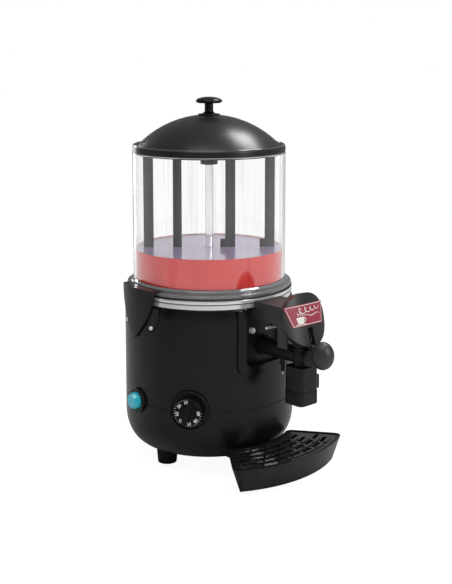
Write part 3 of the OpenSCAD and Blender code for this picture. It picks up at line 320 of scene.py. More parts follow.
def uneven_roughness(tree, given, pattern):
    """A group's given roughness, moved up and down by a pattern."""
    centred = math_node(tree, "SUBTRACT", pattern, 0.5)
    spread = math_node(tree, "MULTIPLY", centred, given.outputs["Roughness Spread"])
    return math_node(tree, "ADD", spread, given.outputs["Roughness"], True)


def surface_grain():
    """Fine moulded grain: roughness that varies in soft patches, and a small bump."""
    tree, given, made = effect(
        "surface_grain",
        [("Grain Scale", "NodeSocketFloat", 900.0), ("Bump Height", "NodeSocketFloat", 0.05),
         ("Patch Scale", "NodeSocketFloat", 22.0), ("Roughness", "NodeSocketFloat", 0.35),
         ("Roughness Spread", "NodeSocketFloat", 0.08)],
        [("Roughness", "NodeSocketFloat"), ("Normal", "NodeSocketVector"), ("Patches", "NodeSocketFloat")])
    grain = noise(tree, given.outputs["Grain Scale"], 3)
    patches = noise(tree, given.outputs["Patch Scale"], 4)
    tree.links.new(uneven_roughness(tree, given, patches), made.inputs["Roughness"])
    tree.links.new(bump_normal(tree, grain, given.outputs["Bump Height"], 0.0004), made.inputs["Normal"])
    tree.links.new(patches, made.inputs["Patches"])
    return tree


def edge_wear():
    """Handled edges a little paler than the rest, broken up by noise."""
    tree, given, made = effect(
        "edge_wear",
        [("Colour", "NodeSocketColor", (0.01, 0.01, 0.01, 1)),
         ("Worn Colour", "NodeSocketColor", (0.06, 0.06, 0.06, 1)), ("Amount", "NodeSocketFloat", 0.5)],
        [("Colour", "NodeSocketColor")])
    edge = ramp(tree, pointiness(tree), 0.54, 0.68)
    broken = math_node(tree, "MULTIPLY", edge, noise(tree, 160, 5))
    mask = math_node(tree, "MULTIPLY", broken, given.outputs["Amount"], True)
    worn = mix_colour(tree, mask, given.outputs["Colour"], given.outputs["Worn Colour"])
    tree.links.new(worn, made.inputs["Colour"])
    return tree


def brushed_lines():
    """Fine lines round the bowl's axis, as turned or brushed metal has."""
    tree, given, made = effect(
        "brushed_lines",
        [("Lines", "NodeSocketFloat", 700.0), ("Bump Height", "NodeSocketFloat", 0.1),
         ("Roughness", "NodeSocketFloat", 0.2), ("Roughness Spread", "NodeSocketFloat", 0.1)],
        [("Roughness", "NodeSocketFloat"), ("Normal", "NodeSocketVector")])
    lines = noise(tree, given.outputs["Lines"], 6, stretch=(0.02, 0.02, 1))
    tree.links.new(uneven_roughness(tree, given, lines), made.inputs["Roughness"])
    tree.links.new(bump_normal(tree, lines, given.outputs["Bump Height"], 0.0002), made.inputs["Normal"])
    return tree


GRAIN = surface_grain()
WEAR = edge_wear()
BRUSHED = brushed_lines()

# ---------------------------------------------------------------- materials


def new_material(name):
    """A plain Principled material; returns it, its tree and the shader."""
    mat = bpy.data.materials.new(name)
    mat.use_nodes = True
    tree = mat.node_tree
    return mat, tree, tree.nodes["Principled BSDF"]


def place_effect(tree, group, **values):
    """Puts a shared effect in a material with its own values."""
    node = tree.nodes.new("ShaderNodeGroup")
    node.node_tree = group
    for label, value in values.items():
        node.inputs[label.replace("_", " ")].default_value = value
    return node


def dress(tree, shader, skin, colour, bumped=True):
    """Gives a shader a colour, and the roughness and bump of a skin."""
    tree.links.new(colour, shader.inputs["Base Color"])
    tree.links.new(skin.outputs["Roughness"], shader.inputs["Roughness"])
    if bumped:
        tree.links.new(skin.outputs["Normal"], shader.inputs["Normal"])


def plastic(name, colour, worn, roughness, spread=0.08, grain=900.0, bump=0.05, wear=0.5, specular=0.35,
            coat=0.0):
    """Moulded plastic or rubber with grain, uneven sheen and paler handled edges."""
    mat, tree, shader = new_material(name)
    skin = place_effect(tree, GRAIN, Grain_Scale=grain, Bump_Height=bump, Roughness=roughness,
                        Roughness_Spread=spread)
    edge = place_effect(tree, WEAR, Colour=(*colour, 1), Worn_Colour=(*worn, 1), Amount=wear)
    paler = tuple(min(1, c * 1.5) for c in colour) + (1,)
    patches = math_node(tree, "MULTIPLY", skin.outputs["Patches"], 0.5)
    dress(tree, shader, skin, mix_colour(tree, patches, edge.outputs["Colour"], paler))
    shader.inputs["Specular IOR Level"].default_value = specular
    shader.inputs["Coat Weight"].default_value = coat
    shader.inputs["Coat Roughness"].default_value = 0.08
    return mat


def metal(name, colour, roughness, spread=0.08, lines=700.0, bump=0.08, tint=(0.5, 0.5, 0.52), metallic=1.0):
    """Metal with fine lines, and edges worn to a tint."""
    mat, tree, shader = new_material(name)
    skin = place_effect(tree, BRUSHED, Lines=lines, Bump_Height=bump, Roughness=roughness,
                        Roughness_Spread=spread)
    edge = place_effect(tree, WEAR, Colour=(*colour, 1), Worn_Colour=(*tint, 1), Amount=0.2)
    dress(tree, shader, skin, edge.outputs["Colour"])
    shader.inputs["Metallic"].default_value = metallic
    return mat


def steel_painted_bright(name, metallic=0.5, roughness=0.16):
    """Polished steel, partly a pale diffuse white that paints in the brightness its reflections would give.
    """
    # Painted light: with metallic under 1, the near-white colour shows as a diffuse share that keeps the
    # steel bright
    return metal(name, (0.94, 0.94, 0.95), roughness, bump=0.03, metallic=metallic)


def clear_plastic():
    """Clear moulded bowl, with painted shade that greys the wall where it is seen edge on, and faint upright
    streaks.
    """
    mat, tree, shader = new_material("clear_bowl")
    # Painted shade: the wall's colour runs to grey where the wall is seen edge on
    facing = tree.nodes.new("ShaderNodeLayerWeight")
    facing.inputs["Blend"].default_value = 0.35
    edge = math_node(tree, "POWER", facing.outputs["Facing"], 3.0, True)
    glass = mix_colour(tree, edge, (0.985, 0.99, 0.99, 1), (0.62, 0.64, 0.66, 1))
    upright = math_node(tree, "LESS_THAN", math_node(tree, "ABSOLUTE", normal_z(tree)), 0.2)
    faint = ramp(tree, noise(tree, 190, 3, stretch=(1, 1, 0.03)), 0.56, 0.72, 0.35)
    streak = math_node(tree, "MULTIPLY", faint, upright)
    skin = place_effect(tree, GRAIN, Grain_Scale=60.0, Bump_Height=0.01, Patch_Scale=9.0, Roughness=0.02,
                        Roughness_Spread=0.03)
    dress(tree, shader, skin, mix_colour(tree, streak, glass, (0.55, 0.56, 0.58, 1)), bumped=False)
    shader.inputs["Transmission Weight"].default_value = 1
    shader.inputs["IOR"].default_value = 1.46
    return mat


def flange_painted_light():
    """The bowl's thick foot flange, clear plastic given grey tones and a diffuse grey share that paint in the
    light it gathers, so it looks grey and glassy.
    """
    mat, tree, shader = new_material("bowl_flange")
    skin = place_effect(tree, GRAIN, Grain_Scale=80.0, Bump_Height=0.02, Patch_Scale=30.0, Roughness=0.10,
                        Roughness_Spread=0.10)
    # Painted light: grey tones stand in for the light the clear flange gathers
    flange_painted_tones = mix_colour(tree, skin.outputs["Patches"], (0.42, 0.43, 0.44, 1), (0.72, 0.73, 0.74, 1))
    dress(tree, shader, skin, flange_painted_tones, bumped=False)
    shader.inputs["Transmission Weight"].default_value = 0.7
    shader.inputs["IOR"].default_value = 1.46
    shader.inputs["Coat Weight"].default_value = 0.6
    return mat


def blade_grey():
    """Grey blades with painted shade along their edges, so each face is paler along its middle."""
    mat, tree, shader = new_material("blade_face_painted_edge_shade")
    skin = place_effect(tree, GRAIN, Grain_Scale=700.0, Bump_Height=0.06, Roughness=0.42,
                        Roughness_Spread=0.1)
    # Painted shade: the blades' sharp edges are darkened to near black
    edge = ramp(tree, pointiness(tree), 0.50, 0.56)
    face = mix_colour(tree, skin.outputs["Patches"], (0.085, 0.088, 0.092, 1), (0.15, 0.153, 0.158, 1))
    dress(tree, shader, skin, mix_colour(tree, edge, face, (0.035, 0.036, 0.038, 1)))
    return mat


def drink_colour():
    """Coral drink, with a pale mauve reflection painted on its flat top."""
    mat, tree, shader = new_material("drink_red")
    # Painted reflection: faces that look up are coloured pale mauve in place of coral
    top = math_node(tree, "GREATER_THAN", normal_z(tree), 0.7)
    clouds = noise(tree, 14, 5)
    side = mix_colour(tree, clouds, (0.84, 0.055, 0.055, 1), (0.95, 0.105, 0.095, 1))
    surface = mix_colour(tree, clouds, (0.50, 0.36, 0.62, 1), (0.70, 0.54, 0.80, 1))
    tree.links.new(mix_colour(tree, top, side, surface), shader.inputs["Base Color"])
    shader.inputs["Roughness"].default_value = 0.12
    shader.inputs["Alpha"].default_value = 0.995
    return mat


def button_teal():
    """Translucent button cap, with a teal glow painted in as emission, though it holds no lamp."""
    mat, tree, shader = new_material("button_teal")
    skin = place_effect(tree, GRAIN, Grain_Scale=300.0, Bump_Height=0.02, Roughness=0.12,
                        Roughness_Spread=0.06)
    teal = mix_colour(tree, skin.outputs["Patches"], (0.01, 0.22, 0.33, 1), (0.05, 0.52, 0.62, 1))
    dress(tree, shader, skin, teal, bumped=False)
    # Painted glow: the cap gives off teal light though no lamp is in it
    shader.inputs["Emission Color"].default_value = (0.02, 0.30, 0.38, 1)
    shader.inputs["Emission Strength"].default_value = 0.35
    shader.inputs["Coat Weight"].default_value = 0.6
    return mat


finishes = {
    "black_shell": plastic("black_shell", (0.0042, 0.0042, 0.0046), (0.03, 0.03, 0.032), 0.27, 0.10,
                           bump=0.03, wear=0.5, specular=0.30),
    "black_trim": plastic("black_trim", (0.006, 0.006, 0.0065), (0.03, 0.03, 0.03), 0.42, 0.12,
                          bump=0.06, wear=0.6, specular=0.3),
    "knob_black": plastic("knob_black", (0.016, 0.016, 0.017), (0.05, 0.05, 0.05), 0.33, 0.08,
                          bump=0.03, wear=0.4, specular=0.5),
    "tray_black": plastic("tray_black", (0.0045, 0.0045, 0.0048), (0.035, 0.035, 0.035), 0.34, 0.12,
                          bump=0.05, wear=0.6, specular=0.3),
    "foot_rubber": plastic("foot_rubber", (0.008, 0.008, 0.008), (0.02, 0.02, 0.02), 0.7, 0.1,
                           grain=500.0, bump=0.25, wear=0.3, specular=0.25),
    "seal_rubber": plastic("seal_rubber", (0.16, 0.16, 0.165), (0.25, 0.25, 0.25), 0.5, 0.1,
                           grain=600.0, bump=0.15, wear=0.3, specular=0.3),
    "steel": metal("steel", (0.66, 0.66, 0.67), 0.12, 0.10),
    "chrome": metal("chrome", (0.80, 0.80, 0.82), 0.07, 0.06, bump=0.02),
    "zinc": metal("zinc", (0.48, 0.49, 0.50), 0.35, 0.2, lines=300.0),
    "motor_grey": plastic("motor_grey", (0.10, 0.10, 0.105), (0.3, 0.3, 0.3), 0.45, 0.1, bump=0.15, wear=0.9),
    "brass": metal("brass", (0.62, 0.44, 0.18), 0.25, 0.12, tint=(0.8, 0.65, 0.4)),
    "clear_bowl": clear_plastic(),
    "drink_red": drink_colour(),
    "blade_grey": plastic("blade_grey", (0.115, 0.118, 0.122), (0.2, 0.2, 0.2), 0.5, 0.1,
                          bump=0.08, wear=0.3, specular=0.3),
    "label_maroon": plastic("label_maroon", (0.30, 0.040, 0.062), (0.35, 0.10, 0.12), 0.35, 0.06,
                            bump=0.03, wear=0.2),
    "white_plastic": plastic("white_plastic", (0.80, 0.78, 0.72), (0.85, 0.85, 0.82), 0.4, 0.1,
                             bump=0.02, wear=0.3),
    "button_teal": button_teal(),
}

for part in frame["record"]["subparts"]:
    mesh = nodes[part["node"]].data
    mesh.materials.clear()
    mesh.materials.append(finishes[part["material_slot"]])

# Nodes whose look differs a little from the rest of their slot
OWN_FINISH = {
    "column_tube": steel_painted_bright("column_steel", 0.75, 0.10),
    "water_tank": steel_painted_bright("ring_steel", 0.5),
    "stirrer_blades": blade_grey(),
    "pivot_pin": steel_painted_bright("pin_steel"),
    "trim_screws": steel_painted_bright("screw_steel"),
    "ball_knob": plastic("ball_satin", (0.026, 0.026, 0.027), (0.05, 0.05, 0.05), 0.43, 0.06,
                         bump=0.02, wear=0.3, specular=0.6),
    # Painted highlight: the lid's seal is a pale grey that draws the thin bright line under the rim
    "lid_seal": plastic("seal_painted_highlight", (0.50, 0.50, 0.51), (0.6, 0.6, 0.6), 0.4, 0.1,
                        grain=600.0, bump=0.1, wear=0.3, specular=0.4),
    "lid_dome": plastic("lid_black", (0.012, 0.012, 0.0125), (0.05, 0.05, 0.05), 0.30, 0.06,
                        bump=0.02, wear=0.5, specular=0.5),
    "tap_cover": plastic("cover_black", (0.022, 0.022, 0.023), (0.09, 0.09, 0.09), 0.32, 0.06,
                         bump=0.03, wear=0.7, specular=0.5),
    "drip_grille": plastic("grille_gloss", (0.008, 0.008, 0.0085), (0.10, 0.10, 0.10), 0.16, 0.10,
                           bump=0.03, wear=0.8, specular=0.6, coat=0.7),
    "dial_knob": plastic("dial_face", (0.004, 0.004, 0.004), (0.02, 0.02, 0.02), 0.45, 0.1,
                         bump=0.05, wear=0.3, specular=0.2),
}
for own_node, own_finish in OWN_FINISH.items():
    nodes[own_node].data.materials[0] = own_finish

# ---------------------------------------------------------------- making pieces

SHARP_ANGLE = math.radians(38)

subpart_slot = {part["node"]: part["material_slot"] for part in frame["record"]["subparts"]}
body_of_node = {}
for body_name, body_nodes in frame["record"]["behaviour"]["bodies"].items():
    for body_node in body_nodes:
        body_of_node[body_node] = body_name


def soften(piece):
    """Smooth shading except over sharp edges, with flat faces kept flat."""
    piece.data.shade_smooth()
    piece.data.set_sharp_from_angle(angle=SHARP_ANGLE)
    piece.modifiers.new("flat_faces", "WEIGHTED_NORMAL").keep_sharp = True


def from_bmesh(name, bm, body, slot_name):
    """Ends a bmesh as a piece on a body, in the finish of a slot."""
    bmesh.ops.recalc_face_normals(bm, faces=bm.faces)
    mesh = bpy.data.meshes.new(name)
    bm.to_mesh(mesh)
    bm.free()
    mesh.materials.append(finishes[slot_name])
    piece = bpy.data.objects.new(name, mesh)
    scene.collection.objects.link(piece)
    soften(piece)
    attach(piece, body)
    return piece


def bridge(bm, rings, closed=False):
    """Faces from each ring of vertices to the next, and then from the last to the first or over both ends."""
    pairs = list(zip(rings, rings[1:]))
    if closed:
        pairs.append((rings[-1], rings[0]))
    count = len(rings[0])
    for low, high in pairs:
        for n in range(count):
            after = (n + 1) % count
            bm.faces.new((low[n], low[after], high[after], high[n]))
    if not closed:
        bm.faces.new(rings[0])
        bm.faces.new(rings[-1])


def turned(name, body, slot_name, outline, steps=160):
    """A piece turned about the bowl's axis from a closed outline of (radius, height)."""
    bm = bmesh.new()
    rings = [[bm.verts.new(from_axis(r, 360 * k / steps, z)) for k in range(steps)] for r, z in outline]
    bridge(bm, rings, closed=True)
    return from_bmesh(name, bm, body, slot_name)


def arc(r, z, radius, start, end, steps=6):
    """Points of an outline round a corner, angles in degrees from outward, upward positive."""
    angles = [math.radians(start + (end - start) * k / steps) for k in range(steps + 1)]
    return [(r + radius * math.cos(a), z + radius * math.sin(a)) for a in angles]


def eased_copy(node, width):
    """A CAD solid with its sharp edges eased, which stands for the plain one."""
    bm = bmesh.new()
    bm.from_mesh(nodes[node].data)
    bmesh.ops.remove_doubles(bm, verts=bm.verts, dist=2e-6)
    bmesh.ops.dissolve_limit(bm, angle_limit=math.radians(0.4), verts=bm.verts, edges=bm.edges)
    limit = math.radians(35)
    sharp = [e for e in bm.edges if len(e.link_faces) == 2 and e.calc_face_angle(0) > limit]
    bmesh.ops.bevel(bm, geom=sharp, offset=width, offset_type="OFFSET", segments=2, profile=0.6,
                    affect="EDGES", clamp_overlap=True)
    bmesh.ops.triangulate(bm, faces=[f for f in bm.faces if len(f.verts) > 4])
    piece = from_bmesh("eased_" + node, bm, body_of_node[node], subpart_slot[node])
    if node in OWN_FINISH:
        piece.data.materials[0] = OWN_FINISH[node]
    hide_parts(node)


def tube(name, body, slot_name, points, radius, sides):
    """A round wire along points, closed at its ends."""
    bm = bmesh.new()
    rings = []
    turns = [math.tau * n / sides for n in range(sides)]
    for k, point in enumerate(points):
        ahead = (points[min(k + 1, len(points) - 1)] - points[max(k - 1, 0)]).normalized()
        side = ahead.cross(Vector((0, 0, 1))).normalized()
        up = side.cross(ahead)
        rings.append([bm.verts.new(point + radius * (math.cos(a) * side + math.sin(a) * up)) for a in turns])
    bridge(bm, rings)
    return from_bmesh(name, bm, body, slot_name)


# ---------------------------------------------------------------- eased copies of the CAD solids

# How wide each node's edges are eased
EASE = {
    "housing_base": 0.0007, "housing_shell": 0.0007, "tap_frame": 0.0012, "tap_panel": 0.0005,
    "clip_left": 0.0009, "clip_right": 0.0009, "tap_cover": 0.0013, "spout_shroud": 0.0010,
    "shroud_cap": 0.0010, "shroud_tab": 0.0008, "valve_body": 0.0006, "valve_cap": 0.0006,
    "tap_collar": 0.0007, "lever_arm": 0.0010, "dial_bezel": 0.0010, "dial_knob": 0.0009,
    "switch_collar": 0.0010, "drip_tray": 0.0010, "drip_grille": 0.0007, "tray_rails": 0.0006,
    "lid_knob": 0.0007, "lid_dome": 0.0005,
    "trim_screws": 0.0005, "foot_screws": 0.0004, "pivot_pin": 0.0003, "stirrer_arms": 0.0010,
    "stirrer_blades": 0.0009, "stirrer_hub": 0.0008, "column_nut": 0.0006, "gearbox": 0.0010, "motor": 0.0008,
    "motor_bracket": 0.0006, "thermostat": 0.0008, "terminal_block": 0.0005, "cable_gland": 0.0005,
    "foot_front": 0.0012, "foot_right": 0.0012, "foot_back": 0.0012, "foot_left": 0.0012,
    "band_heater": 0.0004, "plunger": 0.0004, "label_plate": 0.0002,
}
for eased_node, ease_width in EASE.items():
    eased_copy(eased_node, ease_width)

# ---------------------------------------------------------------- bowl, drink, ring and column

bowl_low, bowl_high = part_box("bowl")
drink_low, drink_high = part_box("drink_fill")
DRINK_GAP = 0.0003
WALL = 0.0035
FLOOR_T = 0.004
FLANGE_H = 0.005
RIDGE_H = 0.005
RIDGE_OUT = 0.004
FLANGE_ROUND = 0.0015
LIP_OUT_ROUND = 0.0012
LIP_IN_ROUND = 0.0010
INSIDE_ROUND = 0.006
UNDERSIDE_IN = 0.010
COLUMN_HOLE_R = 0.016
BOWL_R = (lid_high[0] - lid_low[0]) / 2
inner_r = BOWL_R - WALL
flange_r = (bowl_high[0] - bowl_low[0]) / 2
bowl_floor_top = drink_low[2] - DRINK_GAP


def outward(face):
    """How far the middle of a face is from the bowl's axis."""
    return math.hypot(face.center[0] - AXIS_X, face.center[1] - AXIS_Y)


def clear_bowl():
    """The moulded bowl: a rounded lip, a ridge above its foot flange and a rounded foot inside."""
    foot, lip = bowl_low[2], bowl_high[2]
    floor = bowl_floor_top
    flange_top = foot + FLANGE_H
    ridge_r = BOWL_R + RIDGE_OUT
    ridge_top = flange_top + RIDGE_H
    edge = FLANGE_ROUND
    outline = [(COLUMN_HOLE_R, floor - FLOOR_T), (inner_r - UNDERSIDE_IN, floor - FLOOR_T)]
    outline += [(flange_r - UNDERSIDE_IN, foot)] + arc(flange_r - edge, foot + edge, edge, -90, 0, 4)
    outline += arc(flange_r - edge, flange_top - edge, edge, 0, 90, 4)
    outline += [(ridge_r, flange_top)] + arc(ridge_r - edge, ridge_top - edge, edge, 0, 90, 4)
    outline += [(BOWL_R, ridge_top + 0.002)]
    outline += arc(BOWL_R - LIP_OUT_ROUND, lip - LIP_OUT_ROUND, LIP_OUT_ROUND, 0, 90, 4)
    outline += arc(inner_r + LIP_IN_ROUND, lip - LIP_IN_ROUND, LIP_IN_ROUND, 90, 180, 4)
    outline += arc(inner_r - INSIDE_ROUND, floor + INSIDE_ROUND, INSIDE_ROUND, 0, -90, 6)
    outline += [(COLUMN_HOLE_R, floor)]
    bowl = turned("moulded_bowl", "chassis", "clear_bowl", outline, 192)
    bowl.data.materials.append(flange_painted_light())
    for face in bowl.data.polygons:
        if face.center[2] < ridge_top + 0.001 and outward(face) > inner_r - 0.008:
            face.material_index = 1
    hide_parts("bowl")


def drink():
    """The drink as one volume round the nut and the column, which creeps up them and the bowl's wall."""
    top = drink_high[2]
    outer = inner_r - DRINK_GAP
    nut_r = 0.0165
    column_r = 0.0080
    creep_in = 0.004
    nut_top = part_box("column_nut")[1][2] + 0.0004
    low = bowl_floor_top + DRINK_GAP
    outline = [(column_r, nut_top), (nut_r, nut_top), (nut_r, low)]
    outline += arc(outer - INSIDE_ROUND, low + INSIDE_ROUND, INSIDE_ROUND, -90, 0, 6)
    outline += [(outer, top + 0.0016), (outer - 0.0006, top + 0.0009), (outer - 0.002, top + 0.0002)]
    outline += [(outer - creep_in, top), (column_r + creep_in, top)]
    outline += [(column_r + 0.0012, top + 0.0003), (column_r, top + 0.0010)]
    fill = turned("drink", "chassis", "drink_red", outline, 160)
    # Painted highlight: the meniscus up the wall is a pale pink, far paler than the drink
    fill.data.materials.append(plastic("drink_meniscus_painted_highlight", (0.93, 0.50, 0.50), (0.95, 0.7, 0.7), 0.15, 0.05,
                                       bump=0.01, wear=0.1, specular=0.6))
    for face in fill.data.polygons:
        if face.center[2] > top + 0.00005 and outward(face) > outer - creep_in:
            face.material_index = 1
    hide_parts("drink_fill")


# Height of the lid's rim above its seal, and the bead along its top edge
RIM_H = 0.0104
BEAD_R = 0.0013
BEAD_IN = 0.0022
BEAD_DOWN = 0.0003


def rim_bead():
    """The polished bead along the top edge of the lid's rim; its gloss is real, and its grey, paler than the
    lid's black, is a painted highlight.
    """
    rim_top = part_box("lid_seal")[1][2] + RIM_H
    outline = arc(BOWL_R - BEAD_IN, rim_top - BEAD_DOWN, BEAD_R, 0, 345, 14)
    bead = turned("rim_bead", "lid", "black_shell", outline, 192)
    # Partly painted highlight: the bead's grey is paler than the lid's black
    bead.data.materials[0] = plastic("bead_gloss_painted_highlight", (0.05, 0.05, 0.052), (0.2, 0.2, 0.2), 0.12, 0.05,
                                     wear=0.4, specular=0.9, coat=1.0)


# Heights of the dark lines, half their width, and how far they go in and stand out
GROOVE_HEIGHTS = (0.2716, 0.2782)
GROOVE_HALF = 0.0004
GROOVE_IN = 0.003
GROOVE_OUT = 0.0002


def painted_groove_shade():
    """Dark lines round the steel ring, painted shade: black rings, one in its middle and one where the bowl's
    flange sits on it.
    """
    low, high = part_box("water_tank")
    ring_r = (high[0] - low[0]) / 2
    for number, height in enumerate(GROOVE_HEIGHTS):
        under, over = height - GROOVE_HALF, height + GROOVE_HALF
        inside, outside = ring_r - GROOVE_IN, ring_r + GROOVE_OUT
        outline = [(inside, under), (outside, under), (outside, over), (inside, over)]
        # Painted shade: each line is a black ring, not steel in shade
        turned("ring_groove_%d" % number, "chassis", "black_trim", outline, 160)


clear_bowl()
drink()
rim_bead()
painted_groove_shade()

# ---------------------------------------------------------------- print on the tap's label

# The tap cover's face: its place in front of the tap, its height, lean and rounding
TAP_R = AXIS_Y - sum(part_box("plunger")[k][1] for k in (0, 1)) / 2
COVER_OUT = 0.0135
COVER_Z = 0.261
COVER_LEAN = math.radians(15)
COVER_ROUND = 0.095

# All in millimetres: the label's edges and its border, and how high ink stands on the cover
LABEL_LOW = -10.0
LABEL_TOP = 21.5
LOW_HALF_W = 31.0
TOP_HALF_W = 40.0
BORDER_IN = 1.5
INK_FOOT = 0.66
INK_TOP = 0.78
PATCH_TOP = 0.80


def on_cover(u, v, h):
    """A point u across and v up the tap cover's rounded face, h above it, all in millimetres."""
    r = COVER_ROUND + h / 1000
    x = r * math.sin(u / 1000 / r)
    back = COVER_ROUND - r * math.cos(u / 1000 / r)
    rise = v / 1000
    y = back * math.cos(COVER_LEAN) + rise * math.sin(COVER_LEAN)
    z = -back * math.sin(COVER_LEAN) + rise * math.cos(COVER_LEAN)
    return Vector((AXIS_X + x, AXIS_Y - TAP_R - COVER_OUT + y, COVER_Z + z))


def print_stroke(bm, points, width, closed=False):
    """An inked line along points (u, v) on the label, of one width or of a width for each point."""
    count = len(points)
    widths = width if isinstance(width, list) else [width] * count
    section = ((1, INK_FOOT), (1, INK_TOP), (-1, INK_TOP), (-1, INK_FOOT))
    rings = []
    for k, (u, v) in enumerate(points):
        before = points[(k - 1) % count] if closed or k else points[0]
        after = points[(k + 1) % count] if closed or k < count - 1 else points[-1]
        du, dv = after[0] - before[0], after[1] - before[1]
        length = math.hypot(du, dv) or 1
        nu, nv = -dv / length * widths[k] / 2, du / length * widths[k] / 2
        rings.append([bm.verts.new(on_cover(u + side * nu, v + side * nv, h)) for side, h in section])
    bridge(bm, rings, closed)


def print_patch(bm, left, right):
    """An inked patch between two runs of points (u, v)."""
    across = 6
    rows = []
    for (u0, v0), (u1, v1) in zip(left, right):
        row = [(u0 + (u1 - u0) * k / across, v0 + (v1 - v0) * k / across) for k in range(across + 1)]
        rows.append([bm.verts.new(on_cover(u, v, PATCH_TOP)) for u, v in row])
    for r0, r1 in zip(rows, rows[1:]):
        for k in range(across):
            bm.faces.new((r0[k], r0[k + 1], r1[k + 1], r1[k]))


def swelling(count, thin, more):
    """Widths of a stroke that is thin at its ends and thick in its middle."""
    return [thin + more * math.sin(math.pi * (k + 0.5) / count) for k in range(count)]


def print_border(bm):
    """A border inside the label's edge."""
    low_u, low_v = LOW_HALF_W - BORDER_IN, LABEL_LOW + BORDER_IN
    top_u, top_v = TOP_HALF_W - BORDER_IN, LABEL_TOP - BORDER_IN
    corners = [(-low_u, low_v), (low_u, low_v), (top_u, top_v), (-top_u, top_v)]
    border = []
    for (u0, v0), (u1, v1) in zip(corners, corners[1:] + corners[:1]):
        border += [(u0 + (u1 - u0) * k / 12, v0 + (v1 - v0) * k / 12) for k in range(12)]
    print_stroke(bm, border, 0.8, closed=True)


def print_cup(bm, cup_u, cup_v):
    """A cup with its handle and saucer, and three curls of steam."""
    side = [(4.2 + 3.0 * math.sqrt(k / 8), cup_v + 9.5 * k / 8) for k in range(9)]
    print_patch(bm, [(cup_u - w, v) for w, v in side], [(cup_u + w, v) for w, v in side])
    handle = [math.radians(a) for a in range(-10, 200, 15)]
    handle_line = [(cup_u + 6.5 + 3.2 * math.sin(a), cup_v + 5.6 + 2.7 * math.cos(a)) for a in handle]
    print_stroke(bm, handle_line, 1.1)
    saucer = [(cup_u - 9 + k * 1.5, cup_v - 1.2 + 0.9 * math.sin(math.radians(k * 15))) for k in range(13)]
    print_stroke(bm, saucer, 1.0)
    for shift in (-3.2, 0.6, 4.2):
        steam = [(cup_u + shift + math.sin(k * 0.9), cup_v + 11.2 + k * 0.8) for k in range(8)]
        print_stroke(bm, steam, swelling(8, 0.3, 0.9))


def print_swash(bm):
    """A run of loops that get smaller, over a waved line."""
    turns, steps = 4.5, 120
    loops = []
    widths = []
    for k in range(steps + 1):
        t = k / steps
        size = 4.6 * (1 - 0.62 * t)
        turn = t * turns * math.tau
        loops.append((-17 + 47 * t + size * 0.9 * math.cos(turn), 12.0 + 1.8 * t + size * math.sin(turn)))
        widths.append(0.35 + 0.95 * abs(math.sin(math.pi * turns * k / steps)))
    print_stroke(bm, loops, widths)
    wave = [(-12 + 1.7 * k, 4.6 + 1.1 * math.sin(k * 0.42)) for k in range(25)]
    print_stroke(bm, wave, swelling(25, 0.25, 0.75))


def label_print():
    """A plain border, a steaming cup and a swash of loops, in cream ink."""
    bm = bmesh.new()
    print_border(bm)
    print_cup(bm, -16.0, -6.0)
    from_bmesh("label_print", bm, "chassis", "white_plastic")
    bm = bmesh.new()
    print_swash(bm)
    from_bmesh("label_swash", bm, "chassis", "white_plastic")


label_print()

# The lever's slot, in millimetres on the cover's face: the cheeks' sides, their depth and their height
CHEEK_IN = 5.8
CHEEK_OUT = 6.7
CHEEK_FRONT = -1.0
CHEEK_BACK = -7.0
CHEEK_TOP = -15.0
CHEEK_STEP = 3.4


def slot_lining():
    """Thin black cheeks that line the lever's slot behind the cover's face."""
    section = ((CHEEK_IN, CHEEK_FRONT), (CHEEK_OUT, CHEEK_FRONT),
               (CHEEK_OUT, CHEEK_BACK), (CHEEK_IN, CHEEK_BACK))
    for name, side in (("slot_lining_left", -1), ("slot_lining_right", 1)):
        bm = bmesh.new()
        heights = [CHEEK_TOP - CHEEK_STEP * k for k in range(9)]
        bridge(bm, [[bm.verts.new(on_cover(side * u, v, h)) for u, h in section] for v in heights])
        from_bmesh(name, bm, "chassis", "black_trim")


slot_lining()

# ---------------------------------------------------------------- numbers and ticks on the dial

DIAL_ANGLE = -53.8
DIAL_Z = 0.1086
DIAL_FACE_R = 0.1498
PRINT_LIFT = 0.00008

NUMBER_RING = 0.0162
NUMBER_SIZE = 0.0068
NUMBER_HALF_T = 0.00006
NUMBER_BOLD = 0.00014
# Clockwise from the top, in degrees
NUMBER_PLACES = {"30": 354, "40": 309, "50": 264, "60": 219, "70": 174, "80": 131, "90": 88}

TICK_COUNT = 25
TICK_RING = 0.0206
TICK_LENGTH = 0.0016
TICK_WIDTH = 0.0005
TICK_START = math.radians(94)
TICK_SWEEP = math.radians(268)

# The dial's own directions, seen from in front of it, and the middle of its face
dial_out = from_axis(1, DIAL_ANGLE, 0) - from_axis(0, DIAL_ANGLE, 0)
dial_up = Vector((0, 0, 1))
dial_right = (-dial_out).cross(dial_up)
dial_middle = from_axis(DIAL_FACE_R, DIAL_ANGLE, DIAL_Z) + dial_out * PRINT_LIFT


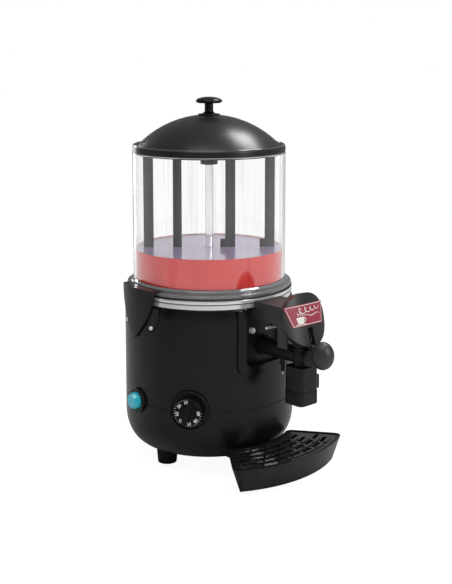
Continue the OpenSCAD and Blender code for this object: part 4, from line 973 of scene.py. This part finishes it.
def dial_numbers():
    """Plain numbers round the thermostat's face, feet towards its middle."""
    bm = bmesh.new()
    for number, clockwise in NUMBER_PLACES.items():
        curve = bpy.data.curves.new("number", "FONT")
        curve.body = number
        curve.size = NUMBER_SIZE
        curve.extrude = NUMBER_HALF_T
        curve.offset = NUMBER_BOLD
        curve.align_x = "CENTER"
        curve.align_y = "CENTER"
        text = bpy.data.objects.new("number", curve)
        scene.collection.objects.link(text)
        bpy.context.view_layer.update()
        made = bpy.data.meshes.new_from_object(text.evaluated_get(bpy.context.evaluated_depsgraph_get()))
        a = math.radians(clockwise)
        radial = dial_right * math.sin(a) + dial_up * math.cos(a)
        across = dial_out.cross(radial)
        turn = Matrix((across, radial, dial_out)).transposed().to_4x4()
        made.transform(Matrix.Translation(dial_middle + radial * NUMBER_RING) @ turn)
        bm.from_mesh(made)
        bpy.data.objects.remove(text)
        bpy.data.curves.remove(curve)
        bpy.data.meshes.remove(made)
    numbers = from_bmesh("dial_numbers", bm, "dial", "white_plastic")
    numbers.data.materials[0] = plastic("number_white", (0.95, 0.95, 0.95), (1, 1, 1), 0.35, 0.05,
                                        bump=0.02, wear=0.1, specular=0.5)


def tick_tree():
    """Geometry Nodes: small bars along an arc, pointing at its middle; returns the tree and its sockets."""
    tree = bpy.data.node_groups.new("dial_ticks", "GeometryNodeTree")
    tree.interface.new_socket("Geometry", in_out="INPUT", socket_type="NodeSocketGeometry")
    sockets = {}
    for label, kind in (("Count", "Int"), ("Radius", "Float"), ("Length", "Float"), ("Width", "Float"),
                        ("Start", "Float"), ("Sweep", "Float"), ("Finish", "Material")):
        sock = tree.interface.new_socket(label, in_out="INPUT", socket_type="NodeSocket" + kind)
        sockets[label] = sock.identifier
    tree.interface.new_socket("Geometry", in_out="OUTPUT", socket_type="NodeSocketGeometry")
    given = tree.nodes.new("NodeGroupInput")
    made = tree.nodes.new("NodeGroupOutput")
    curve = tree.nodes.new("GeometryNodeCurveArc")
    curve.inputs["Resolution"].default_value = 128
    for label, socket in (("Radius", "Radius"), ("Start", "Start Angle"), ("Sweep", "Sweep Angle")):
        tree.links.new(given.outputs[label], curve.inputs[socket])
    points = tree.nodes.new("GeometryNodeCurveToPoints")
    tree.links.new(curve.outputs["Curve"], points.inputs["Curve"])
    tree.links.new(given.outputs["Count"], points.inputs["Count"])
    size = tree.nodes.new("ShaderNodeCombineXYZ")
    tree.links.new(given.outputs["Length"], size.inputs["X"])
    size.inputs["Y"].default_value = 0.0002
    tree.links.new(given.outputs["Width"], size.inputs["Z"])
    bar = tree.nodes.new("GeometryNodeMeshCube")
    tree.links.new(size.outputs[0], bar.inputs["Size"])
    place = tree.nodes.new("GeometryNodeInstanceOnPoints")
    tree.links.new(points.outputs["Points"], place.inputs["Points"])
    tree.links.new(points.outputs["Rotation"], place.inputs["Rotation"])
    tree.links.new(bar.outputs["Mesh"], place.inputs["Instance"])
    real = tree.nodes.new("GeometryNodeRealizeInstances")
    tree.links.new(place.outputs["Instances"], real.inputs["Geometry"])
    coat = tree.nodes.new("GeometryNodeSetMaterial")
    tree.links.new(real.outputs["Geometry"], coat.inputs["Geometry"])
    tree.links.new(given.outputs["Finish"], coat.inputs["Material"])
    tree.links.new(coat.outputs["Geometry"], made.inputs["Geometry"])
    return tree, sockets


def grown(name, tree, sockets, values, place, body, slot_name):
    """Runs a Geometry Nodes tree once, keeps its result as a plain mesh at a place, and puts it on a body."""
    seed = bpy.data.objects.new(name + "_seed", bpy.data.meshes.new(name + "_seed"))
    scene.collection.objects.link(seed)
    growth = seed.modifiers.new("growth", "NODES")
    growth.node_group = tree
    for label, value in values.items():
        growth[sockets[label]] = value
    bpy.context.view_layer.update()
    made = bpy.data.meshes.new_from_object(seed.evaluated_get(bpy.context.evaluated_depsgraph_get()))
    bpy.data.objects.remove(seed)
    made.transform(place)
    bm = bmesh.new()
    bm.from_mesh(made)
    bpy.data.meshes.remove(made)
    from_bmesh(name, bm, body, slot_name)


def dial_ticks():
    """Short white ticks round the bezel's face, over the dial's turn."""
    turn = Matrix((dial_right, dial_up, dial_out)).transposed().to_4x4()
    tree, sockets = tick_tree()
    values = {"Count": TICK_COUNT, "Radius": TICK_RING, "Length": TICK_LENGTH, "Width": TICK_WIDTH,
              "Start": TICK_START, "Sweep": TICK_SWEEP, "Finish": finishes["white_plastic"]}
    place = Matrix.Translation(dial_middle) @ turn
    grown("dial_ticks", tree, sockets, values, place, "dial", "white_plastic")


dial_numbers()
dial_ticks()

# ---------------------------------------------------------------- spring in the tap


def closing_spring():
    """The coil that closes the tap, between the plunger's head and the cover."""
    low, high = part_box("tap_spring")
    middle_x, middle_y = (low[0] + high[0]) / 2, (low[1] + high[1]) / 2
    wire = 0.0006
    coil_r = (high[0] - low[0]) / 2 - wire
    turns, steps = 9, 20
    bottom, top = low[2] + wire, high[2] - wire
    points = []
    for k in range(turns * steps + 1):
        t = k / (turns * steps)
        a = math.tau * turns * t
        z = bottom + (top - bottom) * t
        points.append(Vector((middle_x + coil_r * math.cos(a), middle_y + coil_r * math.sin(a), z)))
    spring = tube("closing_spring", "chassis", "zinc", points, wire, 8)
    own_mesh(spring)
    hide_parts("tap_spring")


closing_spring()
